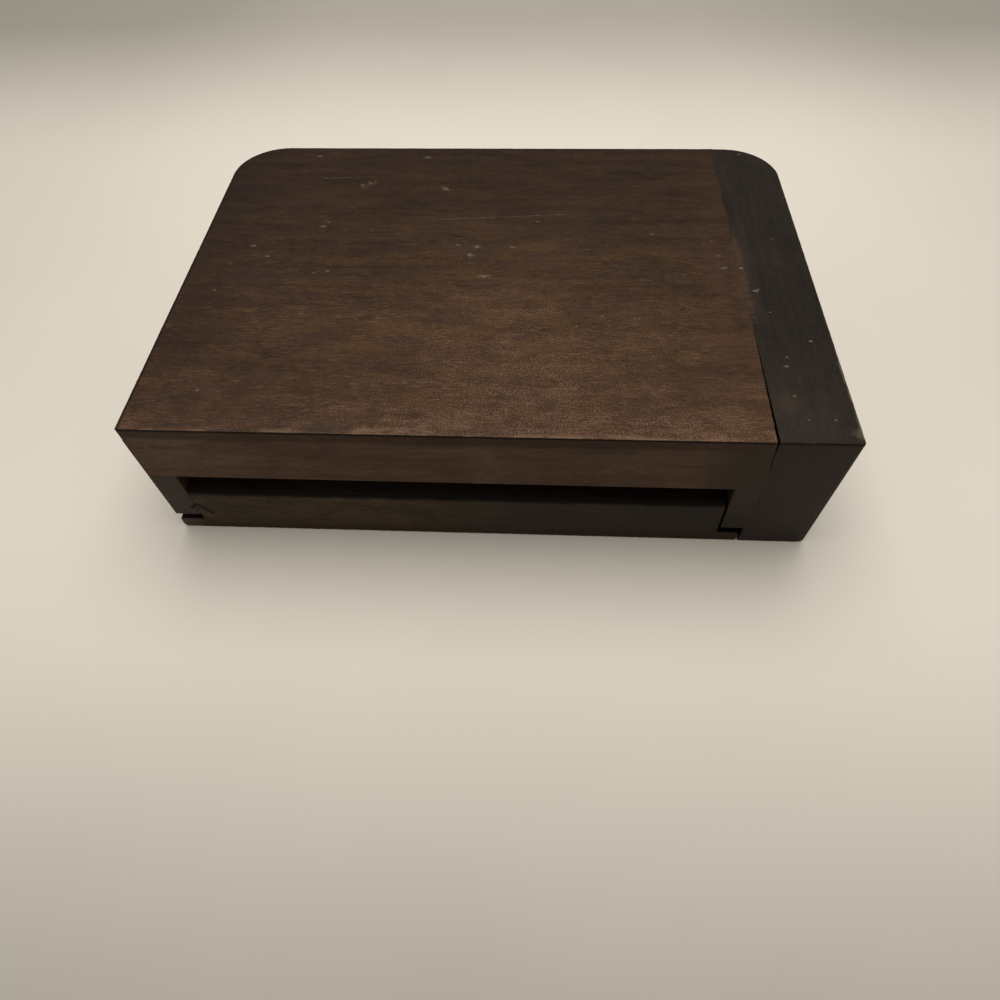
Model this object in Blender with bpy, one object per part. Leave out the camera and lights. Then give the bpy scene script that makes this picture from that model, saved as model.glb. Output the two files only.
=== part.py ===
"""A hardwood keepsake box with a pull-out tray.

The carcass is a board on a front rail, two side walls and a back wall, with a full-height
strip glued to its right-hand end. The side walls stop short of the table, and the tray's
base board runs out beneath them. The tray leaves by the front, carried by two runners in
stopped grooves. Everything is in metres: +X to the right, +Y to the back, +Z up, with the
origin on the table, under the middle of the box.
"""

import math

import bmesh
import bpy
from mathutils import Vector

# Overall sizes
BODY_WIDTH = 0.2260
STRIP_WIDTH = 0.0280
BOX_DEPTH = 0.1810
BOX_HEIGHT = 0.0620
CORNER_RADIUS = 0.0230

# Carcass boards
TOP_THICKNESS = 0.0055
LEFT_WALL_THICKNESS = 0.0105
RIGHT_WALL_THICKNESS = 0.0080
BACK_WALL_THICKNESS = 0.0100
RAIL_THICKNESS = 0.0100
OPENING_HEIGHT = 0.0350
WALL_LIFT = 0.0093
OUTER_ROUND = 0.0020
WALL_ROUND = 0.0015
BLOCK_LEG = 0.0160
BLOCK_CLEARANCE = 0.0025

# Tray boards
TRAY_HEIGHT = 0.0250
TRAY_BASE_THICKNESS = 0.0055
TRAY_FRONT_THICKNESS = 0.0100
TRAY_SIDE_THICKNESS = 0.0060
TRAY_BACK_THICKNESS = 0.0060
TRAY_LAP = 0.0045
TRAY_LEFT_PLAY = 0.00035
TRAY_RIGHT_PLAY = 0.00075
TRAY_REAR_PLAY = 0.0005
EAR_LEFT_INSET = 0.0005
EAR_RIGHT_GAP = 0.0006
EAR_ROUND = 0.0020
LINING_THICKNESS = 0.0012

# Grooves in the side walls and the runners that slide in them
GROOVE_LIFT = 0.0037
GROOVE_HEIGHT = 0.0060
GROOVE_DEPTH = 0.0030
GROOVE_FRONT_STOP = 0.0140
RUNNER_LENGTH = 0.0450
RUNNER_PLAY = 0.0004

# Dowels
STRIP_DOWEL_RADIUS = 0.0025
STRIP_DOWEL_IN_WALL = 0.0055
STRIP_DOWEL_IN_STRIP = 0.0100
RAIL_DOWEL_RADIUS = 0.0020
RAIL_DOWEL_IN_WALL = 0.0100
TRAY_DOWEL_RADIUS = 0.0015
TRAY_DOWEL_IN_FRONT = 0.0050
TRAY_DOWEL_IN_SIDE = 0.0080

# Where the dowels stand, as shares of the board that carries them
STRIP_DOWEL_DEPTH_SHARES = (0.42, 0.78)
STRIP_DOWEL_RISE_SHARE = 0.70
RAIL_DOWEL_RISE_SHARE = 0.25
TRAY_DOWEL_RISE_SHARES = (0.35, 0.75)

# Glue line between boards, and how far a cutter runs past what it cuts
GLUE_GAP = 0.0003
CUT_OVERRUN = 0.0020

# Steps in curves
CORNER_STEPS = 20
ROUND_STEPS = 4
DOWEL_SIDES = 16

# Faces and levels worked out from the sizes
BOX_WIDTH = BODY_WIDTH + STRIP_WIDTH
LEFT = -BOX_WIDTH / 2
RIGHT = BOX_WIDTH / 2
FRONT = -BOX_DEPTH / 2
BACK = BOX_DEPTH / 2
STRIP_FACE = LEFT + BODY_WIDTH
BODY_END = STRIP_FACE - GLUE_GAP
BOARD_UNDERSIDE = BOX_HEIGHT - TOP_THICKNESS
FRAME_TOP = BOARD_UNDERSIDE - GLUE_GAP
RAIL_BACK = FRONT + RAIL_THICKNESS
LEFT_WALL_INNER = LEFT + LEFT_WALL_THICKNESS
RIGHT_WALL_INNER = STRIP_FACE - RIGHT_WALL_THICKNESS
BACK_WALL_INNER = BACK - BACK_WALL_THICKNESS
WALL_END = BACK_WALL_INNER - GLUE_GAP
GROOVE_LOW = WALL_LIFT + GROOVE_LIFT
GROOVE_HIGH = GROOVE_LOW + GROOVE_HEIGHT
GROOVE_START = FRONT + GROOVE_FRONT_STOP

TRAY_LEFT = LEFT_WALL_INNER + TRAY_LEFT_PLAY
TRAY_RIGHT = RIGHT_WALL_INNER - TRAY_RIGHT_PLAY
EAR_LEFT = LEFT + EAR_LEFT_INSET
EAR_RIGHT = STRIP_FACE - EAR_RIGHT_GAP
TRAY_FRONT_BACK = FRONT + TRAY_FRONT_THICKNESS
TRAY_BOX_START = TRAY_FRONT_BACK + GLUE_GAP
TRAY_END = BACK_WALL_INNER - TRAY_REAR_PLAY
TRAY_BOX_LOW = TRAY_BASE_THICKNESS + GLUE_GAP
TRAY_BACK_START = TRAY_END - TRAY_BACK_THICKNESS
LAP_START = TRAY_FRONT_BACK - TRAY_LAP

# The two axes of an outline and the one that it is extruded along, for each extrusion axis
OUTLINE_AXES = {"X": (1, 2, 0), "Y": (0, 2, 1), "Z": (0, 1, 2)}


def clear_scene():
    """Removes whatever objects the scene starts with."""
    for item in list(bpy.data.objects):
        bpy.data.objects.remove(item)


def finish(name, colour, roughness):
    """A plain surface of one colour."""
    material = bpy.data.materials.new(name)
    material.use_nodes = True
    shader = material.node_tree.nodes["Principled BSDF"]
    shader.inputs["Base Color"].default_value = (*colour, 1.0)
    shader.inputs["Roughness"].default_value = roughness
    shader.inputs["Metallic"].default_value = 0.0
    return material


def link(name, mesh, place, surface, parent=None):
    """Puts a mesh into the scene as an object that stands at a place."""
    item = bpy.data.objects.new(name, mesh)
    bpy.context.collection.objects.link(item)
    item.location = Vector(place)
    if parent is not None:
        item.parent = parent
        item.location = Vector(place) - parent.location
    if surface is not None:
        mesh.materials.append(surface)
    return item


def arc(centre, radius, start, end, steps=CORNER_STEPS):
    """Points along a circle from one angle to another, with both ends."""
    turns = [start + (end - start) * i / steps for i in range(steps + 1)]
    return [(centre[0] + radius * math.cos(t), centre[1] + radius * math.sin(t)) for t in turns]


def rectangle(low, high):
    """The four corners between two opposite ones, anticlockwise."""
    return [low, (high[0], low[1]), high, (low[0], high[1])]


def extrusion(outline, axis, low, high, place):
    """A mesh whose ends are a closed outline, extruded between two levels of one axis."""
    across, up, along = OUTLINE_AXES[axis]
    shape = bmesh.new()
    rings = []
    for level in (low, high):
        ring = []
        for first, second in outline:
            point = Vector()
            point[across] = first
            point[up] = second
            point[along] = level
            ring.append(shape.verts.new(point - Vector(place)))
        rings.append(ring)
        shape.faces.new(ring)
    for i in range(len(outline)):
        j = (i + 1) % len(outline)
        shape.faces.new((rings[0][i], rings[0][j], rings[1][j], rings[1][i]))
    bmesh.ops.recalc_face_normals(shape, faces=shape.faces)
    return shape


def round_edges(shape, wanted, radius):
    """Rounds the edges whose middle passes a test."""
    edges = [e for e in shape.edges if wanted((e.verts[0].co + e.verts[1].co) / 2)]
    bmesh.ops.bevel(
        shape, geom=edges, offset=radius, segments=ROUND_STEPS, profile=0.5, affect="EDGES", clamp_overlap=True
    )


def to_mesh(shape, name):
    """Turns an edited shape into a mesh with smooth rounds and crisp arrises."""
    mesh = bpy.data.meshes.new(name)
    shape.to_mesh(mesh)
    shape.free()
    mesh.shade_smooth()
    mesh.set_sharp_from_angle(angle=math.radians(35))
    return mesh


def board(name, outline, axis, low, high, place, surface, parent=None, rounded=None, radius=0.0):
    """A board cut to an outline, with some of its arrises rounded."""
    shape = extrusion(outline, axis, low, high, place)
    if rounded is not None:
        round_edges(shape, rounded, radius)
    return link(name, to_mesh(shape, name), place, surface, parent)


def peg(name, radius, start, end, surface, parent=None):
    """A round peg that runs from one point to another."""
    way = Vector(end) - Vector(start)
    circle = arc((0.0, 0.0), radius, 0.0, 2 * math.pi, DOWEL_SIDES)[:-1]
    shape = extrusion(circle, "Z", 0.0, way.length, (0.0, 0.0, 0.0))
    item = link(name, to_mesh(shape, name), start, surface, parent)
    item.rotation_euler = way.to_track_quat("Z", "Y").to_euler()
    return item


def cut(target, cutter):
    """Takes the cutter's shape out of the target."""
    cutter.hide_render = True
    cutter.display_type = "WIRE"
    modifier = target.modifiers.new("cut_" + cutter.name, "BOOLEAN")
    modifier.operation = "DIFFERENCE"
    modifier.object = cutter


def dowel(name, radius, start, end, targets, surface, parent=None):
    """A dowel between two points, and the slightly wider hole for it in each target."""
    peg(name, radius, start, end, surface, parent)
    over = (Vector(end) - Vector(start)).normalized() * GLUE_GAP
    hole_start = Vector(start) - over
    hole_end = Vector(end) + over
    cutter = peg(name + "_hole_cutter", radius + GLUE_GAP, hole_start, hole_end, None, parent)
    for target in targets:
        cut(target, cutter)


def box_cutter(name, low, high, parent=None):
    """A plain block that takes a rebate or a groove out of a board."""
    outline = rectangle((low[0], low[1]), (high[0], high[1]))
    return board(name, outline, "Z", low[2], high[2], low, None, parent)


def left_corner(radius_inset=0.0, reach=BACK):
    """The plan of the rounded back left corner, from its side up to a depth."""
    radius = CORNER_RADIUS - radius_inset
    centre = (LEFT + CORNER_RADIUS, BACK - CORNER_RADIUS)
    rise = min(1.0, max(0.0, (reach - centre[1]) / radius))
    return arc(centre, radius, math.pi - math.asin(rise), math.pi)


def right_corner():
    """The plan of the rounded back right corner, anticlockwise."""
    return arc((RIGHT - CORNER_RADIUS, BACK - CORNER_RADIUS), CORNER_RADIUS, 0.0, math.pi / 2)


def top_board(surface):
    """The one wide board on top, with its grain across the box."""
    outline = [(LEFT, FRONT), (BODY_END, FRONT), (BODY_END, BACK), *left_corner()]
    return board("top_board", outline, "Z", BOARD_UNDERSIDE, BOX_HEIGHT, (LEFT, FRONT, BOARD_UNDERSIDE), surface)


def front_rail(surface):
    """The rail over the opening, lapped on to the feet of both side walls."""
    outline = rectangle((LEFT, OPENING_HEIGHT), (BODY_END, FRAME_TOP))
    return board("front_rail", outline, "Y", FRONT, RAIL_BACK, (LEFT, FRONT, OPENING_HEIGHT), surface)


def rail_notch(name, left, right):
    """The notch in a side wall's front end that the rail lies in."""
    low = (left - CUT_OVERRUN, FRONT - CUT_OVERRUN, OPENING_HEIGHT - GLUE_GAP)
    high = (right + CUT_OVERRUN, RAIL_BACK + GLUE_GAP, FRAME_TOP + CUT_OVERRUN)
    return box_cutter(name, low, high)


def runner_groove(name, left, right):
    """The groove for a runner, stopped behind the front and open at the back."""
    low = (left, GROOVE_START, GROOVE_LOW)
    high = (right, WALL_END + CUT_OVERRUN, GROOVE_HIGH)
    return box_cutter(name, low, high)


def left_wall(surface):
    """The thin left wall, which follows the rounded corner at its back end."""
    corner = left_corner(reach=WALL_END)
    outline = [(LEFT, FRONT), (LEFT_WALL_INNER, FRONT), (LEFT_WALL_INNER, WALL_END), *corner]
    place = (LEFT, FRONT, WALL_LIFT)

    def lower_outside(point):
        return point.x < LEFT_WALL_THICKNESS / 2 - GLUE_GAP and abs(point.z) < GLUE_GAP

    wall = board("left_wall", outline, "Z", WALL_LIFT, FRAME_TOP, place, surface, None, lower_outside, WALL_ROUND)
    cut(wall, rail_notch("left_rail_notch_cutter", LEFT, LEFT_WALL_INNER))
    groove_bottom = LEFT_WALL_INNER - GROOVE_DEPTH
    cut(wall, runner_groove("left_groove_cutter", groove_bottom, LEFT_WALL_INNER + CUT_OVERRUN))
    return wall


def right_wall(surface):
    """The right wall, hidden outside by the end strip."""
    outline = rectangle((RIGHT_WALL_INNER, FRONT), (BODY_END, WALL_END))
    place = (RIGHT_WALL_INNER, FRONT, WALL_LIFT)
    wall = board("right_wall", outline, "Z", WALL_LIFT, FRAME_TOP, place, surface)
    cut(wall, rail_notch("right_rail_notch_cutter", RIGHT_WALL_INNER, BODY_END))
    groove_bottom = RIGHT_WALL_INNER + GROOVE_DEPTH
    cut(wall, runner_groove("right_groove_cutter", RIGHT_WALL_INNER - CUT_OVERRUN, groove_bottom))
    return wall


def back_wall(surface):
    """The back wall, which stands on the table and carries the rounded corner."""
    corner = [p for p in left_corner() if p[1] > BACK_WALL_INNER]
    start = (left_edge_at(BACK_WALL_INNER), BACK_WALL_INNER)
    outline = [start, (BODY_END, BACK_WALL_INNER), (BODY_END, BACK), *corner]
    place = (LEFT, BACK_WALL_INNER, 0.0)

    def lower_outside(point):
        inner = point.y < GLUE_GAP
        end = point.x > BODY_END - LEFT - GLUE_GAP
        return abs(point.z) < GLUE_GAP and not inner and not end

    return board("back_wall", outline, "Z", 0.0, FRAME_TOP, place, surface, None, lower_outside, OUTER_ROUND)


def left_edge_at(depth):
    """How far left the box reaches at a depth, along its rounded corner."""
    rise = max(0.0, depth - (BACK - CORNER_RADIUS))
    return LEFT + CORNER_RADIUS - math.sqrt(CORNER_RADIUS**2 - rise**2)


def end_strip(surface):
    """The full-height strip on the right, with its grain from front to back."""
    outline = [(STRIP_FACE, FRONT), (RIGHT, FRONT), *right_corner(), (STRIP_FACE, BACK)]
    place = (STRIP_FACE, FRONT, 0.0)

    def lower_outside(point):
        return point.x > GLUE_GAP and point.y > GLUE_GAP and abs(point.z) < GLUE_GAP

    return board("end_strip", outline, "Z", 0.0, BOX_HEIGHT, place, surface, None, lower_outside, OUTER_ROUND)


def corner_block(name, corner_x, direction, surface):
    """A three-sided glue block in an upper inside corner, clear of the tray below."""
    x_face = corner_x + direction * GLUE_GAP
    y_face = BACK_WALL_INNER - GLUE_GAP
    tip = x_face + direction * BLOCK_LEG
    outline = [(x_face, y_face), (tip, y_face), (x_face, y_face - BLOCK_LEG)]
    low = TRAY_HEIGHT + BLOCK_CLEARANCE
    return board(name, outline, "Z", low, FRAME_TOP, (x_face, y_face, low), surface)


def strip_dowels(wall, rail, strip, surface):
    """Three dowels across the glue line of the end strip, the first in the rail's end."""
    rise = OPENING_HEIGHT + STRIP_DOWEL_RISE_SHARE * (FRAME_TOP - OPENING_HEIGHT)
    depths = [FRONT + RAIL_THICKNESS / 2]
    depths += [FRONT + share * BOX_DEPTH for share in STRIP_DOWEL_DEPTH_SHARES]
    places = ("front", "middle", "rear")
    for place, depth, board_with_hole in zip(places, depths, (rail, wall, wall)):
        start = (STRIP_FACE - STRIP_DOWEL_IN_WALL, depth, rise)
        end = (STRIP_FACE + STRIP_DOWEL_IN_STRIP, depth, rise)
        name = "strip_dowel_" + place
        dowel(name, STRIP_DOWEL_RADIUS, start, end, (board_with_hole, strip), surface)


def rail_dowels(left, right, rail, surface):
    """An upright dowel from the foot of each side wall into the rail."""
    depth = FRONT + RAIL_THICKNESS / 2
    low = OPENING_HEIGHT - RAIL_DOWEL_IN_WALL
    high = OPENING_HEIGHT + RAIL_DOWEL_RISE_SHARE * (FRAME_TOP - OPENING_HEIGHT)
    left_centre = LEFT + LEFT_WALL_THICKNESS / 2
    right_centre = (RIGHT_WALL_INNER + BODY_END) / 2
    for place, wall, x in (("left", left, left_centre), ("right", right, right_centre)):
        name = "rail_dowel_" + place
        dowel(name, RAIL_DOWEL_RADIUS, (x, depth, low), (x, depth, high), (wall, rail), surface)


def tray_front(surface, slide):
    """The tray's front, with a rebated ear at each end that passes under a side wall."""
    left_round = arc((EAR_LEFT + EAR_ROUND, EAR_ROUND), EAR_ROUND, math.pi, math.pi * 1.5, ROUND_STEPS)
    right_round = arc((EAR_RIGHT - EAR_ROUND, EAR_ROUND), EAR_ROUND, -math.pi / 2, 0.0, ROUND_STEPS)
    shoulder = TRAY_BASE_THICKNESS
    outline = [
        *left_round,
        *right_round,
        (EAR_RIGHT, shoulder),
        (TRAY_RIGHT, shoulder),
        (TRAY_RIGHT, TRAY_HEIGHT),
        (TRAY_LEFT, TRAY_HEIGHT),
        (TRAY_LEFT, shoulder),
        (EAR_LEFT, shoulder),
    ]
    front = board("tray_front", outline, "Y", FRONT, TRAY_FRONT_BACK, (0.0, FRONT, 0.0), surface, slide)
    low = (LEFT - CUT_OVERRUN, LAP_START, -CUT_OVERRUN)
    high = (RIGHT, TRAY_FRONT_BACK + CUT_OVERRUN, TRAY_BOX_LOW)
    cut(front, box_cutter("tray_lap_cutter", low, high, slide))
    return front


def tray_base(surface, slide):
    """The base board, let into the front and as wide as the box up to the end strip."""
    corner = left_corner(EAR_LEFT_INSET, TRAY_END)
    start = LAP_START + GLUE_GAP
    outline = [(EAR_LEFT, start), (EAR_RIGHT, start), (EAR_RIGHT, TRAY_END), *corner]
    place = (0.0, start, 0.0)

    def lower_end(point):
        end = point.x < TRAY_LEFT or point.x > EAR_RIGHT - GLUE_GAP
        return end and abs(point.z) < GLUE_GAP

    top = TRAY_BASE_THICKNESS
    return board("tray_base", outline, "Z", 0.0, top, place, surface, slide, lower_end, EAR_ROUND)


def tray_side(name, left, surface, slide):
    """One of the two sides that stand on the base board behind the front."""
    outline = rectangle((left, TRAY_BOX_START), (left + TRAY_SIDE_THICKNESS, TRAY_END))
    place = (left, TRAY_BOX_START, TRAY_BOX_LOW)
    return board(name, outline, "Z", TRAY_BOX_LOW, TRAY_HEIGHT, place, surface, slide)


def tray_back(surface, slide):
    """The tray's back, between its sides."""
    low = (TRAY_LEFT + TRAY_SIDE_THICKNESS + GLUE_GAP, TRAY_BACK_START)
    high = (TRAY_RIGHT - TRAY_SIDE_THICKNESS - GLUE_GAP, TRAY_END)
    place = (low[0], low[1], TRAY_BOX_LOW)
    return board("tray_back", rectangle(low, high), "Z", TRAY_BOX_LOW, TRAY_HEIGHT, place, surface, slide)


def tray_runner(name, inner, outer, surface, slide):
    """A runner on the outside of a tray side, near the back, that fills a wall's groove."""
    low = (min(inner, outer), TRAY_END - RUNNER_LENGTH)
    high = (max(inner, outer), TRAY_END)
    base = GROOVE_LOW + RUNNER_PLAY
    top = GROOVE_HIGH - RUNNER_PLAY
    return board(name, rectangle(low, high), "Z", base, top, (low[0], low[1], base), surface, slide)


def tray_lining(surface, slide):
    """The felt on the tray's floor."""
    clear = TRAY_SIDE_THICKNESS + GLUE_GAP
    low = (TRAY_LEFT + clear, TRAY_BOX_START)
    high = (TRAY_RIGHT - clear, TRAY_BACK_START - GLUE_GAP)
    base = TRAY_BOX_LOW
    place = (low[0], low[1], base)
    return board("tray_lining", rectangle(low, high), "Z", base, base + LINING_THICKNESS, place, surface, slide)


def tray_dowels(front, left, right, surface, slide):
    """Two dowels from the back of the tray's front into each side."""
    start = TRAY_FRONT_BACK - TRAY_DOWEL_IN_FRONT
    end = TRAY_BOX_START + TRAY_DOWEL_IN_SIDE
    height = TRAY_HEIGHT - TRAY_BOX_LOW
    left_centre = TRAY_LEFT + TRAY_SIDE_THICKNESS / 2
    right_centre = TRAY_RIGHT - TRAY_SIDE_THICKNESS / 2
    for place, side, x in (("left", left, left_centre), ("right", right, right_centre)):
        for level, share in zip(("lower", "upper"), TRAY_DOWEL_RISE_SHARES):
            rise = TRAY_BOX_LOW + share * height
            name = "tray_dowel_" + place + "_" + level
            ends = ((x, start, rise), (x, end, rise))
            dowel(name, TRAY_DOWEL_RADIUS, *ends, (front, side), surface, slide)


def build_carcass(stained, strip_stain, raw):
    """The fixed part of the box."""
    top_board(stained)
    rail = front_rail(stained)
    left = left_wall(stained)
    right = right_wall(stained)
    back_wall(stained)
    strip = end_strip(strip_stain)
    corner_block("left_corner_block", LEFT_WALL_INNER, 1, raw)
    corner_block("right_corner_block", RIGHT_WALL_INNER, -1, raw)
    strip_dowels(right, rail, strip, raw)
    rail_dowels(left, right, rail, raw)


def build_tray(stained, raw, felt):
    """The part that slides out to the front, on an empty that marks its slide."""
    slide = bpy.data.objects.new("tray_slide", None)
    bpy.context.collection.objects.link(slide)
    slide.location = Vector((0.0, FRONT, 0.0))
    front = tray_front(stained, slide)
    tray_base(raw, slide)
    left = tray_side("tray_left_side", TRAY_LEFT, raw, slide)
    right = tray_side("tray_right_side", TRAY_RIGHT - TRAY_SIDE_THICKNESS, raw, slide)
    tray_back(raw, slide)
    reach = GROOVE_DEPTH - RUNNER_PLAY
    tray_runner("tray_left_runner", TRAY_LEFT - GLUE_GAP, LEFT_WALL_INNER - reach, raw, slide)
    tray_runner("tray_right_runner", TRAY_RIGHT + GLUE_GAP, RIGHT_WALL_INNER + reach, raw, slide)
    tray_lining(felt, slide)
    tray_dowels(front, left, right, raw, slide)


def main():
    clear_scene()
    stained = finish("stained_hardwood", (0.040, 0.024, 0.014), 0.45)
    strip_stain = finish("dark_strip_stain", (0.016, 0.012, 0.010), 0.42)
    raw = finish("bare_red_hardwood", (0.145, 0.055, 0.030), 0.65)
    felt = finish("red_felt", (0.110, 0.012, 0.014), 0.95)
    build_carcass(stained, strip_stain, raw)
    build_tray(stained, raw, felt)


main()
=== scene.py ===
# %% [markdown]
# # A dark wooden trinket box, dressed for its picture
#
# The box is glued up from planed boards: a wide top board, a front rail, two side walls, a
# back wall and a nearly black strip along the right end. A tray slides out from below the
# rail. The packed model gives every board its place, so this lesson only makes what the
# packed model leaves out: softened arrises, an opened glue joint, wood with a grain, stain
# and wear, and felt in the tray.
#
# The frame is loaded first. Its boxes are read by name wherever a board has to fit.

# %% Load the frame
import math
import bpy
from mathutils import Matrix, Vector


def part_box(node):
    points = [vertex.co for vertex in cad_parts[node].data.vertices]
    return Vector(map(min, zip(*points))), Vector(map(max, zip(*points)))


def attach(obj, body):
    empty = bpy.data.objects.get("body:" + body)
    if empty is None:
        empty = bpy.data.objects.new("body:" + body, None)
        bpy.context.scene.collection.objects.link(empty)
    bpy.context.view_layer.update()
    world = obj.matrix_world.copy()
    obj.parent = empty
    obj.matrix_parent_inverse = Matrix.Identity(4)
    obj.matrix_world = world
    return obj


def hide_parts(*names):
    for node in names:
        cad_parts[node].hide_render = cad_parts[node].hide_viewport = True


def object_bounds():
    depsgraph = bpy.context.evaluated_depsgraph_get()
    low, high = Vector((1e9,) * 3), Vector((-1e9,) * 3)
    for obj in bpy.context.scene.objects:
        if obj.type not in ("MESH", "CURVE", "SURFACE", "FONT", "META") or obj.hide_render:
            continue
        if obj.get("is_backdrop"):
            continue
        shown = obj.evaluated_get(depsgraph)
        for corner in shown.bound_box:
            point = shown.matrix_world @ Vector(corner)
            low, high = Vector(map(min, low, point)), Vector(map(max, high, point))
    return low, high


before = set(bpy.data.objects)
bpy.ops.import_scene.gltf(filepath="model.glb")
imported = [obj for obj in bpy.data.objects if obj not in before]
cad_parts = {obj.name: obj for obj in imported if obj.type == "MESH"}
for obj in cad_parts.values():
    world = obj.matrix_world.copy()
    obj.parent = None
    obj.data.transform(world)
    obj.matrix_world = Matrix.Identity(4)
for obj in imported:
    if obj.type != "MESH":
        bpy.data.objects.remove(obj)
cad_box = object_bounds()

from types import SimpleNamespace

import bpy
import numpy as np

MM = 0.001
print("nodes:", len(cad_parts))
print("box in mm:", [[round(v / MM, 1) for v in corner] for corner in cad_box])

# %% [markdown]
# ## Closed skins
#
# A board is a loop of points that is carried along a path: the loops lie one above the
# other, faces join each loop to the next, and one flat face closes each end. Whole boards
# come from one array of loops, so no vertex is placed by hand. The mesh's volume tells
# whether the faces point out, and if it is negative the loops are turned round.

# %% Skin a stack of loops
SHARP_ANGLE = math.radians(40)


def skin_faces(rings, around):
    """Index (k, s) of a grid is k * around + s. Each face joins (k, s), (k, s+1), (k+1, s+1)
    and (k+1, s), where s wraps round to 0."""
    k, s = np.meshgrid(np.arange(rings - 1), np.arange(around), indexing="ij")
    ahead = (s + 1) % around
    here, above = k * around, (k + 1) * around
    quads = np.stack([here + s, here + ahead, above + ahead, above + s], -1)
    return quads.reshape(-1, 4)


def signed_volume(loops):
    """A sixth of the sum, over all the faces, of the triple product of a face's corners."""
    rings, around, _ = loops.shape
    quads = loops.reshape(-1, 3)[skin_faces(rings, around)]
    a, b, c, d = (quads[:, i] for i in range(4))
    sides = np.einsum("ij,ij->", a, np.cross(b, c)) + np.einsum("ij,ij->", a, np.cross(c, d))
    ends = 0.0
    for loop, sign in ((loops[0], -1), (loops[-1], 1)):
        fan = np.cross(loop, np.roll(loop, -1, 0))
        ends += sign * np.einsum("ij,ij->", fan, np.tile(loop.mean(0), (around, 1)))
    return (sides + ends) / 6


def make_piece(name, stacks, body, replaced=()):
    """One object from one or more closed stacks of loops, its vertices in the part's frame.
    The stacks share one list of vertices, so a stack's indices start where the last ended."""
    verts, faces, start = [], [], 0
    for loops in stacks:
        if signed_volume(loops) < 0:
            loops = loops[:, ::-1]
        rings, around, _ = loops.shape
        verts.append(loops.reshape(-1, 3))
        faces += (skin_faces(rings, around) + start).tolist()
        faces.append((np.arange(around)[::-1] + start).tolist())
        faces.append((np.arange(around) + start + (rings - 1) * around).tolist())
        start += rings * around
    mesh = bpy.data.meshes.new(name)
    mesh.from_pydata(np.concatenate(verts).tolist(), [], faces)
    mesh.shade_smooth()
    mesh.set_sharp_from_angle(angle=SHARP_ANGLE)
    piece = bpy.data.objects.new(name, mesh)
    bpy.context.scene.collection.objects.link(piece)
    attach(piece, body)
    if replaced:
        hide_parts(*replaced)
    print(f"{name}: {len(mesh.vertices)} vertices, {len(mesh.polygons)} faces")
    return piece


print("side faces of a skin of 4 loops with 6 points:", len(skin_faces(4, 6)))

# %% [markdown]
# ## Uneven lines
#
# Nothing on a hand-made box is quite straight, so lines and radii get a smooth unevenness:
# the sum of a few sine waves that run in seeded random directions.

# %% Smooth unevenness
def ripple(points, size, seed, waves=7):
    """Sum of waves sin(k . p + phase) over their number, each with a wavelength of 0.6 to
    1.7 times size. Lies between -1 and 1."""
    chance = np.random.default_rng(seed)
    ways = chance.normal(size=(waves, points.shape[-1]))
    lengths = size * chance.uniform(0.6, 1.7, waves)
    ways *= (2 * np.pi / lengths / np.linalg.norm(ways, axis=1))[:, None]
    return np.sin(points @ ways.T + chance.uniform(0, 2 * np.pi, waves)).mean(-1)


row = np.array([[0.0, 0, 0], [10 * MM, 0, 0], [20 * MM, 0, 0]])
print("unevenness at three points:", ripple(row, 30 * MM, 1).round(2))

# %% [markdown]
# ## Boards
#
# Seen from one side, each board is a rectangle with rounded corners. Drawing that outline
# in by an inset, and changing the height at the same time, rounds the arris all round the
# board. The inset may differ from point to point, which gives worn and dented arrises.

# %% Outline of a board
SMALLEST_ARC = 0.01 * MM


def drawn_outline(corners, radii, inset, steps, arc_steps):
    """Corners go anticlockwise and all are square. A side's inward normal is its direction
    turned left, and a corner's inward step is the sum of its two sides' normals, so that an
    inset moves it by inset times that step. Its arc has radius max(R - inset, 0.01 mm) and
    its centre one radius further in. A corner with no arc steps stays a point. inset has
    the shape (rings, points), and so has each coordinate of the result."""
    corners = np.array(corners, float)
    ways = np.roll(corners, -1, 0) - corners
    ways /= np.linalg.norm(ways, axis=1)[:, None]
    normals = np.stack([-ways[:, 1], ways[:, 0]], -1)
    inward = normals + np.roll(normals, 1, 0)

    def at_corner(i, share, drawn):
        """A point at a share of corner i's quarter turn, the outline drawn in by drawn."""
        if not arc_steps[i]:
            return corners[i] + inward[i] * drawn[..., None]
        radius = np.maximum(radii[i] - drawn, SMALLEST_ARC)
        turn = math.atan2(-normals[i - 1][1], -normals[i - 1][0]) + share * np.pi / 2
        round_it = np.stack([np.cos(turn) * radius, np.sin(turn) * radius], -1)
        return corners[i] + inward[i] * (drawn + radius)[..., None] + round_it

    parts, at = [], 0
    for i in range(len(corners)):
        share = np.linspace(0, 1, arc_steps[i] + 1)
        parts.append(at_corner(i, share, inset[:, at : at + len(share)]))
        at += len(share)
        share = np.linspace(0, 1, steps[i] + 1)[1:-1]
        drawn = inset[:, at : at + len(share)]
        start, end = at_corner(i, 1.0, drawn), at_corner((i + 1) % len(corners), 0.0, drawn)
        parts.append(start + share[:, None] * (end - start))
        at += len(share)
    return np.concatenate(parts, 1)


def even_steps(corners, radii, spacing):
    """Numbers of steps on the straight sides and on the arcs: each length over the spacing,
    rounded. A side's length is the way between its corners less the two radii, and an arc's
    is its radius times a quarter turn."""
    corners = np.array(corners, float)
    runs = np.linalg.norm(np.roll(corners, -1, 0) - corners, axis=1) - radii - np.roll(radii, -1)
    steps = [max(2, round(run / spacing)) for run in runs]
    arcs = [max(3, round(radius * np.pi / 2 / spacing)) if radius else 0 for radius in radii]
    return steps, arcs


def square(low, high):
    """The corners of a rectangle, anticlockwise from the lowest."""
    return (low[0], low[1]), (high[0], low[1]), (high[0], high[1]), (low[0], high[1])


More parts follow.
